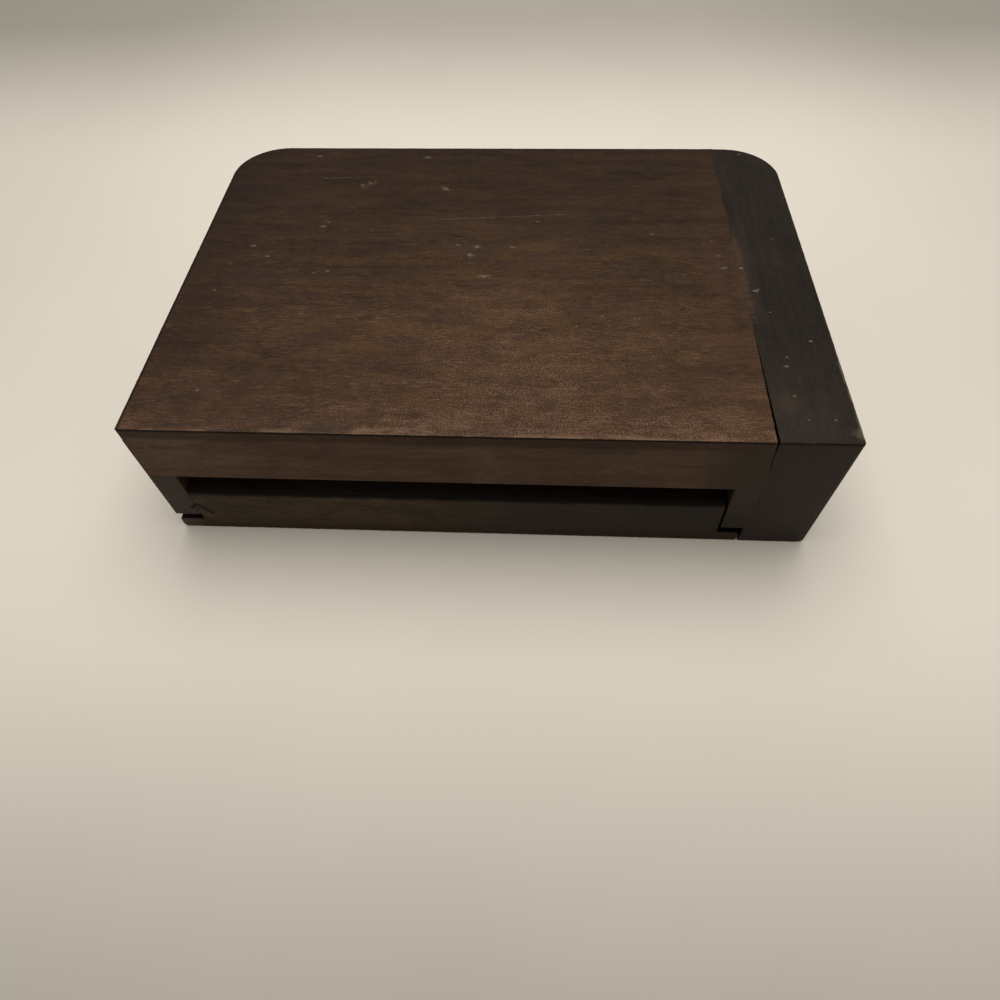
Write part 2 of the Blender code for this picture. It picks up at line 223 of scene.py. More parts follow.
sample = square((0, 0), (200 * MM, 100 * MM))
print("steps round a board of 200 by 100 mm:", sum(even_steps(sample, np.zeros(4), 10 * MM)[0]))

# %% [markdown]
# The side of a board could be one tall face, but its arris needs several loops to look
# round, and the flat faces need a few loops beside it so that smooth shading stays flat.

# %% Loops of a board
ARRIS_TURNS = np.radians([0, 18, 36, 54, 72, 90])
SIDE_SHARES = (0.04, 0.12, 0.3, 0.5, 0.7, 0.88, 0.96)
FLAT_RINGS = ((3 * MM, 0.3), (1.2 * MM, 0.2), (0.4 * MM, 0.1))


def board_loops(
    corners, radii, base, top, low_arris, high_arris, spacing=1.0 * MM, seed=1, wear=0.35, room=None
):
    """Loops from the lower face over its arris, up the side, over the upper arris and on to
    the upper face. On an arris of radius r at an angle a from the side, the inset is
    r (1 - cos a) and the height is r (1 - sin a) from the face. r varies by wear times
    an unevenness of 9 mm. high_arris may be a function of the outline's points. room is the
    least width of the outline, and flat rings by the arris keep within it."""
    steps, arcs = even_steps(corners, radii, spacing)
    count = sum(steps) + sum(arcs)
    at_rest = drawn_outline(corners, radii, np.zeros((1, count)), steps, arcs)[0]
    uneven = 1 + wear * (ripple(at_rest, 9 * MM, seed) + ripple(at_rest, 2.5 * MM, seed + 1))
    high_arris = high_arris(at_rest) if callable(high_arris) else high_arris
    r_low, r_high = low_arris * uneven, high_arris * uneven
    room = room or min(at_rest.max(0) - at_rest.min(0))
    margins = [min(margin, room * share) for margin, share in FLAT_RINGS]
    insets, heights = [], []
    for margin in margins:
        insets.append(r_low + margin)
        heights.append(np.full(count, base))
    for turn in ARRIS_TURNS[::-1]:
        insets.append(r_low * (1 - math.cos(turn)))
        heights.append(base + r_low * (1 - math.sin(turn)))
    for share in SIDE_SHARES:
        insets.append(np.zeros(count))
        heights.append(base + r_low + share * (top - base - r_low - r_high))
    for turn in ARRIS_TURNS:
        insets.append(r_high * (1 - math.cos(turn)))
        heights.append(top - r_high * (1 - math.sin(turn)))
    for margin in margins[::-1]:
        insets.append(r_high + margin)
        heights.append(np.full(count, top))
    plan = drawn_outline(corners, radii, np.array(insets), steps, arcs)
    return np.concatenate([plan, np.array(heights)[..., None]], -1)


print("loops of a board:", 2 * len(FLAT_RINGS) + 2 * len(ARRIS_TURNS) + len(SIDE_SHARES))

# %% [markdown]
# ## Where the boards are
#
# The frame's boxes give the faces of the boards. The packed model keeps a gap of 0.3 mm in
# each glue line. On the real box the glue lines are closed, so the dressed boards meet,
# with an arris of a few hundredths of a millimetre that shows as the finest of lines.

# %% Faces and levels
def corners_of(node):
    """The lowest and the highest corner of a packed board's box, in metres."""
    return tuple(np.array(corner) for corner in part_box(node))


board_low, board_high = corners_of("top_board")
strip_low, strip_high = corners_of("end_strip")
rail_low, rail_high = corners_of("front_rail")
left_low, left_high = corners_of("left_wall")
right_low = corners_of("right_wall")[0]
back_low = corners_of("back_wall")[0]
tray_high = corners_of("tray_front")[1]
base_low, base_high = corners_of("tray_base")

LEFT, FRONT = board_low[0], board_low[1]
RIGHT, BACK = strip_high[0], strip_high[1]
TOP = board_high[2]
SEAM = strip_low[0]
RAIL_FOOT = rail_low[2]
RAIL_BACK = rail_high[1]
JOINT = 0.005 * MM
GLUED = 0.02 * MM
EASED = 0.06 * MM
CORNER = 23 * MM
HALF_GAP = 0.15 * MM
UNDER_BOARD = board_low[2] - HALF_GAP
print("width, depth, height in mm:", [round(v / MM, 1) for v in (RIGHT - LEFT, BACK - FRONT, TOP)])

# %% [markdown]
# ## The opened joint
#
# The glue line between the boards and the end strip has let go at the front corner. On top
# it opens over the last 60 mm, to 0.85 mm at the front face, and it runs 12 mm down the
# front, where it closes fast. The strip stays where it is. The board's and the rail's ends
# are drawn back from it by a gap that grows along the joint and wanders a little.

# %% Width of the opened joint
CRACK_WIDTH = 0.85 * MM
CRACK_END = -31 * MM
CRACK_FOOT = 50 * MM


def joint_gap(y, z):
    """JOINT plus CRACK_WIDTH times (share along the top)^1.1 times (share down the front)^1.5
    times a wander. Each share is 0 where the crack ends and 1 at the front top corner, and
    the wander is 1 + 0.15 sin(900 y) sin(260 y + 1), with y in metres."""
    along = np.clip((CRACK_END - y) / (CRACK_END - FRONT), 0, 1) ** 1.1
    down = np.clip((z - CRACK_FOOT) / (TOP - CRACK_FOOT), 0, 1) ** 1.5
    wander = 1 + 0.15 * np.sin(y * 900) * np.sin(y * 260 + 1)
    return JOINT + CRACK_WIDTH * along * down * wander


def open_joint(loops, reach=4 * MM):
    """Points within reach of the seam move left by the gap times a share that falls evenly
    from 1 at the seam to 0 at reach."""
    share = np.clip((loops[..., 0] - (SEAM - reach)) / reach, 0, 1)
    loops[..., 0] -= share * joint_gap(loops[..., 1], loops[..., 2])
    return loops


for y in (-0.03, -0.06, -0.09):
    print(f"gap on top at y = {y / MM:.0f} mm: {joint_gap(np.float64(y), TOP) / MM:.2f} mm")

# %% [markdown]
# The front right foot isn't quite true. Below the crack the joint steps 2 mm to the right,
# and the foot and the tray's ear follow it.

# %% Lean of the right foot
OPENING_RIGHT = right_low[0]
EDGE_LEAN, EDGE_DROP = 1 * MM, 26 * MM
JOINT_LEAN, JOINT_DROP, JOINT_START = 2 * MM, 14 * MM, 54 * MM
LEAN_ASIDE, LEAN_BEHIND = 30 * MM, 40 * MM


def lean(loops):
    """Moves points right by one amount at the opening's edge, 1 mm times (rail foot - z)
    over 26 mm, and by another at the joint, 2 mm times a smooth step as z falls from 54 to
    40 mm. Between the two it goes evenly from one to the other. It fades out 30 mm left of
    the opening's edge, at the box's right face, and from 80 to 40 mm in front of the middle
    of the box."""
    x, y, z = loops[..., 0], loops[..., 1], loops[..., 2]
    at_edge = EDGE_LEAN * np.clip((RAIL_FOOT - z) / EDGE_DROP, 0, 1.2)
    step = np.clip((JOINT_START - z) / JOINT_DROP, 0, 1)
    at_joint = JOINT_LEAN * step * step * (3 - 2 * step)
    across = np.clip((x - OPENING_RIGHT) / (SEAM - OPENING_RIGHT), 0, 1)
    fade = np.clip((x - OPENING_RIGHT + LEAN_ASIDE) / LEAN_ASIDE, 0, 1)
    fade = fade * np.clip((RIGHT - x) / (RIGHT - SEAM), 0, 1)
    forward = np.clip((-LEAN_BEHIND - y) / LEAN_BEHIND, 0, 1)
    loops[..., 0] += (at_edge + across * (at_joint - at_edge)) * fade * forward
    return loops


foot_corner = lean(np.array([[SEAM, FRONT, 0.0]]))
print("the joint's foot leans by", round((foot_corner[0, 0] - SEAM) / MM, 2), "mm")

# %% [markdown]
# ## Top board and end strip
#
# Both are rectangles in plan with one large round corner at the back. The strip stands on the
# table, as the back wall does, and the lower outer arris of both is rounded by 2 mm. That
# round is made by drawing points towards the middle of the corner's arc, by the depth of a
# circle at their height. A bevel would round the inner arris too.

# %% Lower outer round
FOOT_ROUND = 2 * MM
CRACK_ARRIS = 0.3 * MM


def round_foot(loops, core, ways, radius):
    """q is how far a point lies outside the core along each rounded way, and rho its length.
    The point moves towards the core by r - sqrt(r^2 - (r - z)^2), times a smooth share that
    is 0 where rho is under 80% of the arc's radius and 1 on the face."""
    q = np.stack([np.maximum((loops[..., i] - core[i]) * ways[i], 0) for i in range(2)], -1)
    rho = np.maximum(np.linalg.norm(q, axis=-1), 1e-9)
    rise = np.clip(radius - loops[..., 2], 0, radius)
    depth = radius - np.sqrt(radius**2 - rise**2)
    share = np.clip((rho - 0.8 * CORNER) / (0.17 * CORNER), 0, 1)
    share = share * share * (3 - 2 * share)
    for i in range(2):
        loops[..., i] -= ways[i] * q[..., i] / rho * depth * share
    return loops


def foot_rings(loops, levels):
    """Adds loops at levels near the foot, by stepping evenly from the last loop below them
    to the first loop above them."""
    z = loops[..., 2].mean(1)
    below = np.nonzero(z < levels[0])[0][-1]
    start, end = loops[below], loops[below + 1]
    shares = [(level - z[below]) / (z[below + 1] - z[below]) for level in levels]
    added = np.array([start + share * (end - start) for share in shares])
    return np.concatenate([loops[: below + 1], added, loops[below + 1 :]])


def arris_at_seam(open_radius, closed_radius=0.03 * MM):
    """A function of an outline's points: the arris has its open radius away from the seam,
    and at the seam it grows from the closed radius with the opened joint."""
    def radius(points):
        """Open radius times (1 - share at the seam) plus the seam's radius times the share."""
        at_seam = np.clip(1 - abs(points[:, 0] - SEAM) / (0.5 * MM), 0, 1)
        opened = np.clip((joint_gap(points[:, 1], TOP) - JOINT) / (0.4 * MM), 0, 1)
        seam_radius = closed_radius + (CRACK_ARRIS - closed_radius) * opened
        return at_seam * seam_radius + (1 - at_seam) * open_radius
    return radius


print("round of the foot:", FOOT_ROUND / MM, "mm, round corner:", CORNER / MM, "mm")

# %% [markdown]
# The board's arrises are nearly sharp, and handling has left them uneven. Its right end
# follows the opened joint.

# %% Top board
board = board_loops(
    square((LEFT, FRONT), (SEAM, BACK)), (0.5 * MM, EASED, EASED, CORNER),
    UNDER_BOARD, TOP, GLUED, arris_at_seam(0.32 * MM), seed=11, wear=0.4,
)
top_board = make_piece("stained_top_board", [open_joint(board)], "carcass", ["top_board"])

# %% [markdown]
# The strip is as tall as the box. Its right arris is worn rounder, most of all at its front
# corner. It gets extra loops near the table, so that the round of its foot has steps.

# %% End strip
FOOT_LEVELS = np.array([0.5, 0.8, 1.1, 1.4, 1.7, 2.0, 2.4]) * MM
strip = board_loops(
    square((SEAM, FRONT), (RIGHT, BACK)), (EASED, 1.1 * MM, CORNER, EASED),
    0.0, TOP, GLUED, arris_at_seam(0.55 * MM), seed=21, wear=0.3,
)
strip = foot_rings(strip, FOOT_LEVELS)
strip = round_foot(strip, (RIGHT - CORNER, BACK - CORNER), (1, 1), FOOT_ROUND)
end_strip = make_piece("blackened_end_strip", [lean(strip)], "carcass", ["end_strip"])

# %% [markdown]
# ## Rail and walls
#
# The rail is seen from the front, so its outline lies in the front plane and it is carried
# from front to back. A swap of axes turns a board that was made upright.

# %% Turn boards and make the rail
def facing_front(loops):
    """Takes (x, z, -y) to (x, y, z), for a board whose outline was drawn on the front."""
    return np.stack([loops[..., 0], -loops[..., 2], loops[..., 1]], -1)


rail = facing_front(board_loops(
    square((LEFT, RAIL_FOOT), (SEAM, UNDER_BOARD)), (EASED, EASED, EASED, 0.5 * MM),
    -RAIL_BACK, -FRONT, GLUED, 0.12 * MM, seed=31, wear=0.5,
))
front_rail = make_piece("stained_front_rail", [lean(open_joint(rail))], "carcass", ["front_rail"])

# %% [markdown]
# Each side wall has a groove for the tray's runner that stops short of the front. Cutting it
# would leave ragged loops, so the wall is five slabs that meet flush: an outer slab, two
# slabs above and below the groove, the groove's stopped end, and the foot under the rail.
# The left wall's back end is then bent in to the round corner.

# %% Walls
GROOVE_LOW, GROOVE_HIGH = 13 * MM, 19 * MM
GROOVE_DEPTH, GROOVE_START = 3 * MM, FRONT + 14 * MM


def slab(low, high, arris=GLUED, radii=(EASED,) * 4, seed=41):
    """A plain board between two corners, its outline in plan."""
    return board_loops(square(low, high), radii, low[2], high[2], arris, arris, 1.6 * MM, seed)


def follow_corner(loops):
    """Moves a left wall's points in to the round corner: at a depth d past the start of the
    arc the outer face lies r - sqrt(r^2 - d^2) further right. The inner face stays."""
    past = np.clip(loops[..., 1] - (BACK - CORNER), 0, CORNER)
    depth = CORNER - np.sqrt(CORNER**2 - past**2)
    share = np.clip((left_high[0] - loops[..., 0]) / (left_high[0] - LEFT), 0, 1)
    loops[..., 0] += depth * share
    return loops


def side_wall(outer, inner, foot_seed):
    """The slabs of a side wall between its outer and inner faces. Each row below holds a
    slab's two x, its front and back y, and its bottom and top z."""
    way = 1 if inner > outer else -1
    groove = inner - way * GROOVE_DEPTH
    end, low, high = back_low[1], left_low[2], UNDER_BOARD
    spans = (
        (outer, groove, RAIL_BACK, end, low, high),
        (groove, inner, RAIL_BACK, end, low, GROOVE_LOW),
        (groove, inner, RAIL_BACK, end, GROOVE_HIGH, high),
        (groove, inner, RAIL_BACK, GROOVE_START, GROOVE_LOW, GROOVE_HIGH),
        (outer, inner, FRONT, RAIL_BACK, low, RAIL_FOOT),
    )
    stacks = []
    for a, b, front, back, bottom, top in spans:
        stacks.append(slab((min(a, b), front, bottom), (max(a, b), back, top), seed=foot_seed))
    return stacks


left_slabs = [follow_corner(loops) for loops in side_wall(LEFT, left_high[0], 43)]
left_wall = make_piece("stained_left_wall", left_slabs, "carcass", ["left_wall"])
right_slabs = [lean(loops) for loops in side_wall(SEAM - JOINT, right_low[0], 47)]
right_wall = make_piece("stained_right_wall", right_slabs, "carcass", ["right_wall"])

# %% [markdown]
# ## Back wall
#
# The back wall carries the second half of the round corner. Its outline starts where the
# left wall ends, runs along the inside, back along the outside, and round the arc.

# %% Back wall
def back_wall_outline(spacing):
    """Anticlockwise: the inner face, the end at the strip, the outer face and the arc. The
    arc's points are its centre plus CORNER times (cos a, sin a), and it stops at the angle
    whose sine is the wall's inner face over CORNER, counted from the arc's centre."""
    inner, seam = back_low[1], SEAM - JOINT
    stop = np.arcsin((inner - (BACK - CORNER)) / CORNER)
    centre = np.array([LEFT + CORNER, BACK - CORNER])
    turns = np.pi - np.linspace(np.pi / 2, stop, 40)
    arc = centre + CORNER * np.stack([np.cos(turns), np.sin(turns)], -1)
    across = np.arange(arc[-1][0], seam, spacing)
    inside = np.stack([across, np.full(len(across), inner)], -1)
    end = np.stack([np.full(8, seam), np.linspace(inner, BACK, 8)], -1)
    back = np.arange(seam, arc[0][0], -spacing)[1:]
    outside = np.stack([back, np.full(len(back), BACK)], -1)
    return np.concatenate([inside, end, outside, arc[:-1]])


plan = back_wall_outline(2 * MM)
levels = np.array([0, 0.06, 0.2, 0.4, 0.7, 1.0, 1.4, 1.7, 2.0, 2.6, 8, 20, 35, 50, UNDER_BOARD / MM]) * MM
back_loops = np.stack([np.concatenate([plan, np.full((len(plan), 1), z)], 1) for z in levels])
back_loops = round_foot(back_loops, (LEFT + CORNER, BACK - CORNER), (-1, 1), FOOT_ROUND)
back_wall = make_piece("stained_back_wall", [back_loops], "carcass", ["back_wall"])

# %% [markdown]
# ## The tray
#
# The tray's front has a thin ear at each end that runs under a side wall, so that from the
# front it is a T upside down. It is made like a board, with the T as its outline, up to the
# base board that the ears carry on. A block behind it closes the lap. The front's upper arris
# is rounded by nearly a millimetre where fingers pull it, and its lower one is eased. It sits
# a quarter of a millimetre to the left, so the gap shows at its right end only. In T_CORNERS
# and T_RADII the corners go anticlockwise from the left ear's foot.

# %% Tray front
EAR_TOP = base_high[2]
LAP = base_low[1] - HALF_GAP
TRAY_SHIFT = 0.25 * MM
TRAY_LEFT, TRAY_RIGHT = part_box("tray_left_side")[0][0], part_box("tray_right_side")[1][0]
TRAY_TOP = tray_high[2]
T_CORNERS = (
    (base_low[0], 0), (base_high[0], 0), (base_high[0], EAR_TOP), (TRAY_RIGHT, EAR_TOP),
    (TRAY_RIGHT, TRAY_TOP), (TRAY_LEFT, TRAY_TOP), (TRAY_LEFT, EAR_TOP), (base_low[0], EAR_TOP),
)
T_RADII = np.array([2.0, 1.4, 1.5, 0, 0.9, 0.4, 0, 0.4]) * MM


def handled_arris(points):
    """0.2 mm, and 0.7 mm more along the top and 0.3 mm more along the foot."""
    at_top = np.clip((points[:, 1] - TRAY_TOP) / MM + 1, 0, 1)
    at_foot = np.clip(1 - points[:, 1] / MM, 0, 1)
    return (0.2 + 0.7 * at_top + 0.3 * at_foot) * MM


tee = facing_front(board_loops(
    T_CORNERS, T_RADII, -LAP, -FRONT, GLUED, handled_arris, 0.8 * MM, 51, 0.45, EAR_TOP,
))
tee[..., 0] -= TRAY_SHIFT
behind = slab(
    (TRAY_LEFT, LAP + 0.01 * MM, EAR_TOP + 2 * HALF_GAP), (TRAY_RIGHT, tray_high[1], TRAY_TOP), seed=55
)
tray_front = make_piece("stained_tray_front", [lean(tee), behind], "tray", ["tray_front"])

# %% [markdown]
# ## Finishes
#
# Shader sums are easier to read as sums, so one small class wraps a socket and turns
# arithmetic into Math nodes. A second class holds the material and makes every other node.

# %% Socket arithmetic
class Field:
    """A number that varies over the surface. An expression on it adds Math nodes."""

    def __init__(self, finish, socket):
        """The material that holds the nodes, and the socket that gives the number."""
        self.finish, self.socket = finish, socket

    def math(self, operation, *values):
        """One Math node. Its values are numbers or fields, in the node's order."""
        return self.finish.node("ShaderNodeMath", {"operation": operation}, dict(enumerate(values)))

    def __add__(self, other): return self.math("ADD", self, other)
    def __radd__(self, other): return self.math("ADD", other, self)
    def __sub__(self, other): return self.math("SUBTRACT", self, other)
    def __rsub__(self, other): return self.math("SUBTRACT", other, self)
    def __mul__(self, other): return self.math("MULTIPLY", self, other)
    def __rmul__(self, other): return self.math("MULTIPLY", other, self)
    def __truediv__(self, other): return self.math("DIVIDE", self, other)
    def __rtruediv__(self, other): return self.math("DIVIDE", other, self)
    def __abs__(self): return self.math("ABSOLUTE", self)
    def at_least(self, other): return self.math("MAXIMUM", self, other)
    def at_most(self, other): return self.math("MINIMUM", self, other)

    def between(self, low, high):
        """0 up to low, 1 from high, smooth in between. low may be above high."""
        inputs = {"Value": self, "From Min": low, "From Max": high}
        return self.finish.node("ShaderNodeMapRange", {"interpolation_type": "SMOOTHSTEP"}, inputs)


print("besides the operators, a field has:", [name for name in vars(Field) if not name.startswith("_")])

# %% [markdown]
# A material keeps its nodes in a tree. Making one by hand takes several lines, so a single
# method takes a node's kind, its settings and its inputs, and every other method calls it.

# %% A material and its nodes
class Finish:
    """A material, its nodes, and the place on the object in millimetres. Its methods make
    every node but the Math nodes' sums, and all of them go through node()."""

    def __init__(self, name, **constants):
        """constants are values for the shader's own sockets, with _ for a space. The place is
        the object's coordinates times 1000, and x, y and z are its parts."""
        self.material = bpy.data.materials.new(name)
        self.material.use_nodes = True
        self.tree = self.material.node_tree
        self.shader = self.tree.nodes["Principled BSDF"]
        for socket, value in constants.items():
            self.shader.inputs[socket.replace("_", " ")].default_value = value
        place = self.tree.nodes.new("ShaderNodeTexCoord").outputs["Object"]
        scale = {0: place, "Scale": 1 / MM}
        self.place = self.node("ShaderNodeVectorMath", {"operation": "SCALE"}, scale)
        self.x, self.y, self.z = (
            self.node("ShaderNodeSeparateXYZ", {}, {0: self.place}, output) for output in range(3)
        )

    def node(self, kind, settings, inputs, output=0):
        """Makes a node: its settings first, then the values or links of its sockets."""
        node = self.tree.nodes.new(kind)
        for name, value in settings.items():
            setattr(node, name, value)
        for key, value in inputs.items():
            value = value.socket if isinstance(value, Field) else value
            if isinstance(value, bpy.types.NodeSocket):
                self.tree.links.new(value, node.inputs[key])
            else:
                node.inputs[key].default_value = value
        return Field(self, node.outputs[output])

    def stretched(self, sizes, shift=(0.0, 0.0, 0.0)):
        """The place over a size in mm along each axis, moved by a shift."""
        inputs = {0: self.place, 1: tuple(1 / size for size in sizes), 2: shift}
        return self.node("ShaderNodeVectorMath", {"operation": "MULTIPLY_ADD"}, inputs)

    def noise(self, sizes, shift=(0.0, 0.0, 0.0), detail=2.0, roughness=0.5, distortion=0.0):
        """Noise from 0 to 1 with spots about as large as the sizes in mm."""
        inputs = {"Vector": self.stretched(sizes, shift), "Scale": 1.0, "Detail": detail,
                  "Roughness": roughness, "Distortion": distortion}
        return self.node("ShaderNodeTexNoise", {}, inputs)

    def mix(self, share, first, second):
        """A colour: first times (1 - share) plus second times share."""
        inputs = {0: share, 6: first, 7: second}
        return self.node("ShaderNodeMix", {"data_type": "RGBA"}, inputs, 2)

    def near(self, point):
        """Distance in mm to a point."""
        inputs = {0: self.place, 1: point}
        return self.node("ShaderNodeVectorMath", {"operation": "DISTANCE"}, inputs, 1)

    def bump(self, height, millimetres):
        """A bump whose height of 1 stands for a depth in millimetres."""
        inputs = {"Height": height, "Strength": 1.0, "Distance": millimetres * MM}
        self.link("Normal", self.node("ShaderNodeBump", {}, inputs))

    def link(self, socket, field):
        """Feeds one of the shader's sockets from a field."""
        self.tree.links.new(field.socket, self.shader.inputs[socket])

    def paint(self, *pieces):
        """Makes this the only material of the pieces."""
        for piece in pieces:
            piece.data.materials.clear()
            piece.data.materials.append(self.material)


def colour(red, green, blue):
    """A colour written as it looks on a screen, from 0 to 255, as the shader's numbers: with
    p = v / 255, each is p / 12.92 below 0.04045, and otherwise ((p + 0.055) / 1.055)^2.4."""
    parts = [v / 255 for v in (red, green, blue)]
    return (*(p / 12.92 if p < 0.04045 else ((p + 0.055) / 1.055) ** 2.4 for p in parts), 1.0)


print("a mid brown in shader numbers:", [round(v, 3) for v in colour(75, 55, 40)])

# %% [markdown]
# ## Dark stained hardwood
#
# The wood is fine and straight in the grain. What shows, from large to small: clouds where
# the stain took unevenly, streaks a few millimetres apart, hair-fine fibres, and a sandy
# speckle of pores where the coat is thin. Each is noise stretched along the grain. The
# pattern fills the solid, so a board's end shows the same pores as dots.

# %% Parts of a wood
def sizes_along(grain, along, across):
    """Sizes in mm for noise that is long along one axis."""
    return tuple(along if axis == grain else across for axis in range(3))


def grain_parts(f, grain, shift):
    """Streaks, finer fibres, hair and sandy speckle, each from -0.5 to 0.5."""
    streaks = f.noise(sizes_along(grain, 30, 3.2), shift, 3.0, 0.6, 0.3) - 0.5
    fibres = f.noise(sizes_along(grain, 7, 0.9), shift, 3.0, 0.65, 0.2) - 0.5
    hair = f.noise(sizes_along(grain, 2.8, 0.5), shift, 2.0, 0.65) - 0.5
    sand = f.noise((0.55, 0.42, 0.42), shift, 2.0, 0.6) - 0.5
    return streaks, fibres, hair, sand


print("sizes in mm of streaks that run from left to right:", sizes_along(0, 30, 3.2))

# %% [markdown]
# ### Marks
#
# Pale specks and smears lie on the top, and a few scrapes. A mark is a distance to a point or
# to a line, turned into a soft spot and broken up by a fine noise, because paint specks and
# scrapes catch only on the wood's high fibres.

# %% Marks on the top
# A speck is its x, its y and its radius in mm. A line is its start, its end and its width.
SPECKS = (
    (-112.2, -16.9, 0.7), (-54.5, 24.0, 0.6), (-68.9, -4.1, 0.7), (-74.0, -5.0, 1.0),
    (-4.5, -6.3, 1.3), (-2.4, -6.0, 0.9), (6.6, 12.9, 1.0), (-10.7, 7.3, 1.2), (-14.5, 5.0, 0.8),
    (-8.0, 13.0, 1.2), (-16.5, 14.0, 0.9), (-96.2, 5.3, 0.7), (-25.0, 55.5, 1.3),
    (-26.5, 57.0, 0.7), (-64.3, 58.4, 1.2), (-60.9, 60.6, 0.9), (-75.2, 29.6, 1.1),
    (-78.0, 34.5, 0.8), (-76.0, 26.5, 0.9), (-104.0, 12.5, 1.0), (-103.3, -71.6, 0.5),
    (-29.4, -65.9, 0.45), (55.1, -30.9, 0.6), (56.9, -30.6, 0.5), (53.2, -31.2, 0.5),
    (42.6, -29.5, 0.5), (-10.0, -87.0, 0.5), (76.8, -4.3, 0.55), (65.8, 22.7, 0.6),
    (-88.5, 83.0, 0.9), (-36.0, 82.0, 1.1), (17.0, 31.0, 0.6), (22.5, -89.4, 0.7), (92.0, 8.0, 0.9),
    (93.0, 0.5, 1.1), (90.5, 18.0, 0.8),
)
STRIP_SPECKS = (
    (111.7, 85.8, 0.5), (103.4, -13.7, 0.8), (104.4, -12.6, 0.5), (106.7, -26.0, 0.35),
    (118.8, -41.7, 0.45), (108.5, -50.3, 0.4), (107.3, -54.9, 0.6), (107.6, -69.4, 0.5),
    (110.2, -80.3, 0.4), (115.5, 20.0, 0.35), (119.2, -80.1, 0.35), (99.5, 0.5, 0.7),
)
SCRAPES = (
    ((-34.4, 31.5), (31.3, 36.7), 0.8), ((-63.2, 56.4), (-58.2, 61.2), 1.9),
    ((-22.5, -34.1), (-16.2, -48.3), 0.3), ((55.1, -31.4), (63.0, -29.6), 0.4),
    ((-92.0, -40.0), (-70.0, -37.0), 0.3), ((-47.0, -24.0), (-30.0, -23.0), 0.35),
    ((-84.0, 64.0), (-66.0, 64.5), 0.5),
)
RUBBED = (
    ((-128.0, -89.4), (-97.0, -89.4), 1.2), ((-76.0, -88.6), (-66.0, -88.6), 1.7),
    ((-43.0, -88.0), (-18.0, -88.2), 3.2), ((-14.0, -89.0), (20.0, -89.0), 1.5),
    ((24.0, -89.0), (54.0, -88.8), 2.0), ((40.0, -89.2), (94.0, -89.2), 1.1),
)
DARKENED = (
    ((-61.0, -88.0), (-46.0, -87.0), 3.2), ((-94.0, -88.8), (-80.0, -88.8), 1.7),
    ((-110.0, -86.5), (-104.0, -86.5), 2.0),
)
SHADES = (
    ((-16.0, -17.0), (3.0, -10.5), 2.6), ((-60.0, 8.0), (-40.0, 12.0), 5.0),
    ((70.0, -57.0), (86.0, -58.0), 4.0), ((28.0, -26.0), (38.0, -24.0), 4.5),
    ((-104.0, -9.0), (-88.0, -11.0), 8.0), ((0.0, 34.0), (46.0, 30.0), 15.0),
    ((-116.0, -79.0), (-92.0, -72.0), 16.0), ((94.5, 16.0), (95.0, -36.0), 4.0),
)

print(len(SPECKS), "specks on the board,", len(STRIP_SPECKS), "on the strip,", len(SCRAPES), "scrapes")

# %% [markdown]
# A mark could be painted on a picture that lies on the board, but it would be as coarse as
# the picture. Worked out from a distance, it stays sharp from near by.

# %% Spots and lines
def line_spot(across, up, start, end, width):
    """1 on a line from start to end, 0 from width off it. With the unit way along the line,
    how far along and aside a point lies are its dot products with that way and with the way
    turned by a right angle. Past an end the overshoot is added."""
    way = np.array(end) - np.array(start)
    length = float(np.hypot(*way))
    cos, sin = (float(v) for v in way / length)
    along = (across - start[0]) * cos + (up - start[1]) * sin
    aside = (up - start[1]) * cos - (across - start[0]) * sin
    beyond = (along - length).at_least(0 - along).at_least(0.0)
    return (abs(aside) + beyond).between(width, 0.0)


def most(spots):
    """The largest of several fields, found by taking them in one after the other."""
    found = spots[0]
    for spot in spots[1:]:
        found = found.at_least(spot)
    return found


def specks(f, places, level):
    """1 on a speck: the distance to its middle, counted 1.7 times less along x and made
    uneven by a fine noise, falls from 1.3 times the radius to a third of it."""
    squeezed = f.stretched((1.7, 1.0, 1.0)).socket
    rough = (f.noise((1.0, 0.5, 0.6), detail=2.0, roughness=0.7) - 0.5) * 2.8
    spots = []
    for x, y, radius in places:
        inputs = {0: squeezed, 1: (x / 1.7, y, level)}
        distance = f.node("ShaderNodeVectorMath", {"operation": "DISTANCE"}, inputs, 1)
        spots.append((distance + rough * min(1, radius)).between(radius * 1.1, radius * 0.25))
    return most(spots)


print("width of the widest dark patch in mm:", max(width for _, _, width in SHADES))

# %% [markdown]
# ### The blackened strip
#
# It is nearly black and smooth, with the grain from front to back, and mostly its satin
# sheen shows it. Brown stain crept 2 mm over the joint in its middle stretch. The same
# black was brushed over the front's right end, so it is a function that both finishes call.

# %% Near-black coat
def black_coat(f):
    """Colour and relief of the near-black coat. The tone is a weighted sum of the wood's
    patterns, lighter to the front on top, partly as painted light, lighter on the front face,
    and darker towards its foot."""
    streaks, fibres, hair, sand = grain_parts(f, 1, (0.6, 2.7, 6.1))
    clouds = f.noise((18, 34, 18), (6.0, 2.0, 1.0), 3.0, 0.55, 0.3) - 0.5
    top, front = TOP / MM, FRONT / MM
    on_top = (f.z - top).between(-0.6, -0.2)
    on_front = (f.y - front).between(0.9, 0.3) * (1 - on_top)
    # forward: the top lightens towards the front, partly as painted light
    forward = (f.y - front).between(60.0, 0.0) * on_top
    tone = streaks * 0.3 + fibres * 0.3 + hair * 0.4 + sand * 0.45 + clouds * 0.5 + 0.36
    tone = tone + forward * 0.2 + on_front * 0.26 - f.z.between(22.0, 2.0) * on_front * 0.16
    coat = f.mix(tone.between(0.0, 1.0), colour(19, 15, 12), colour(56, 46, 37))
    coat = f.mix(on_front * 0.25, coat, colour(64, 56, 50))
    relief = fibres * 0.3 + hair * 0.25 + sand * 0.2 + clouds * 0.3
    return coat, relief, on_top, on_front


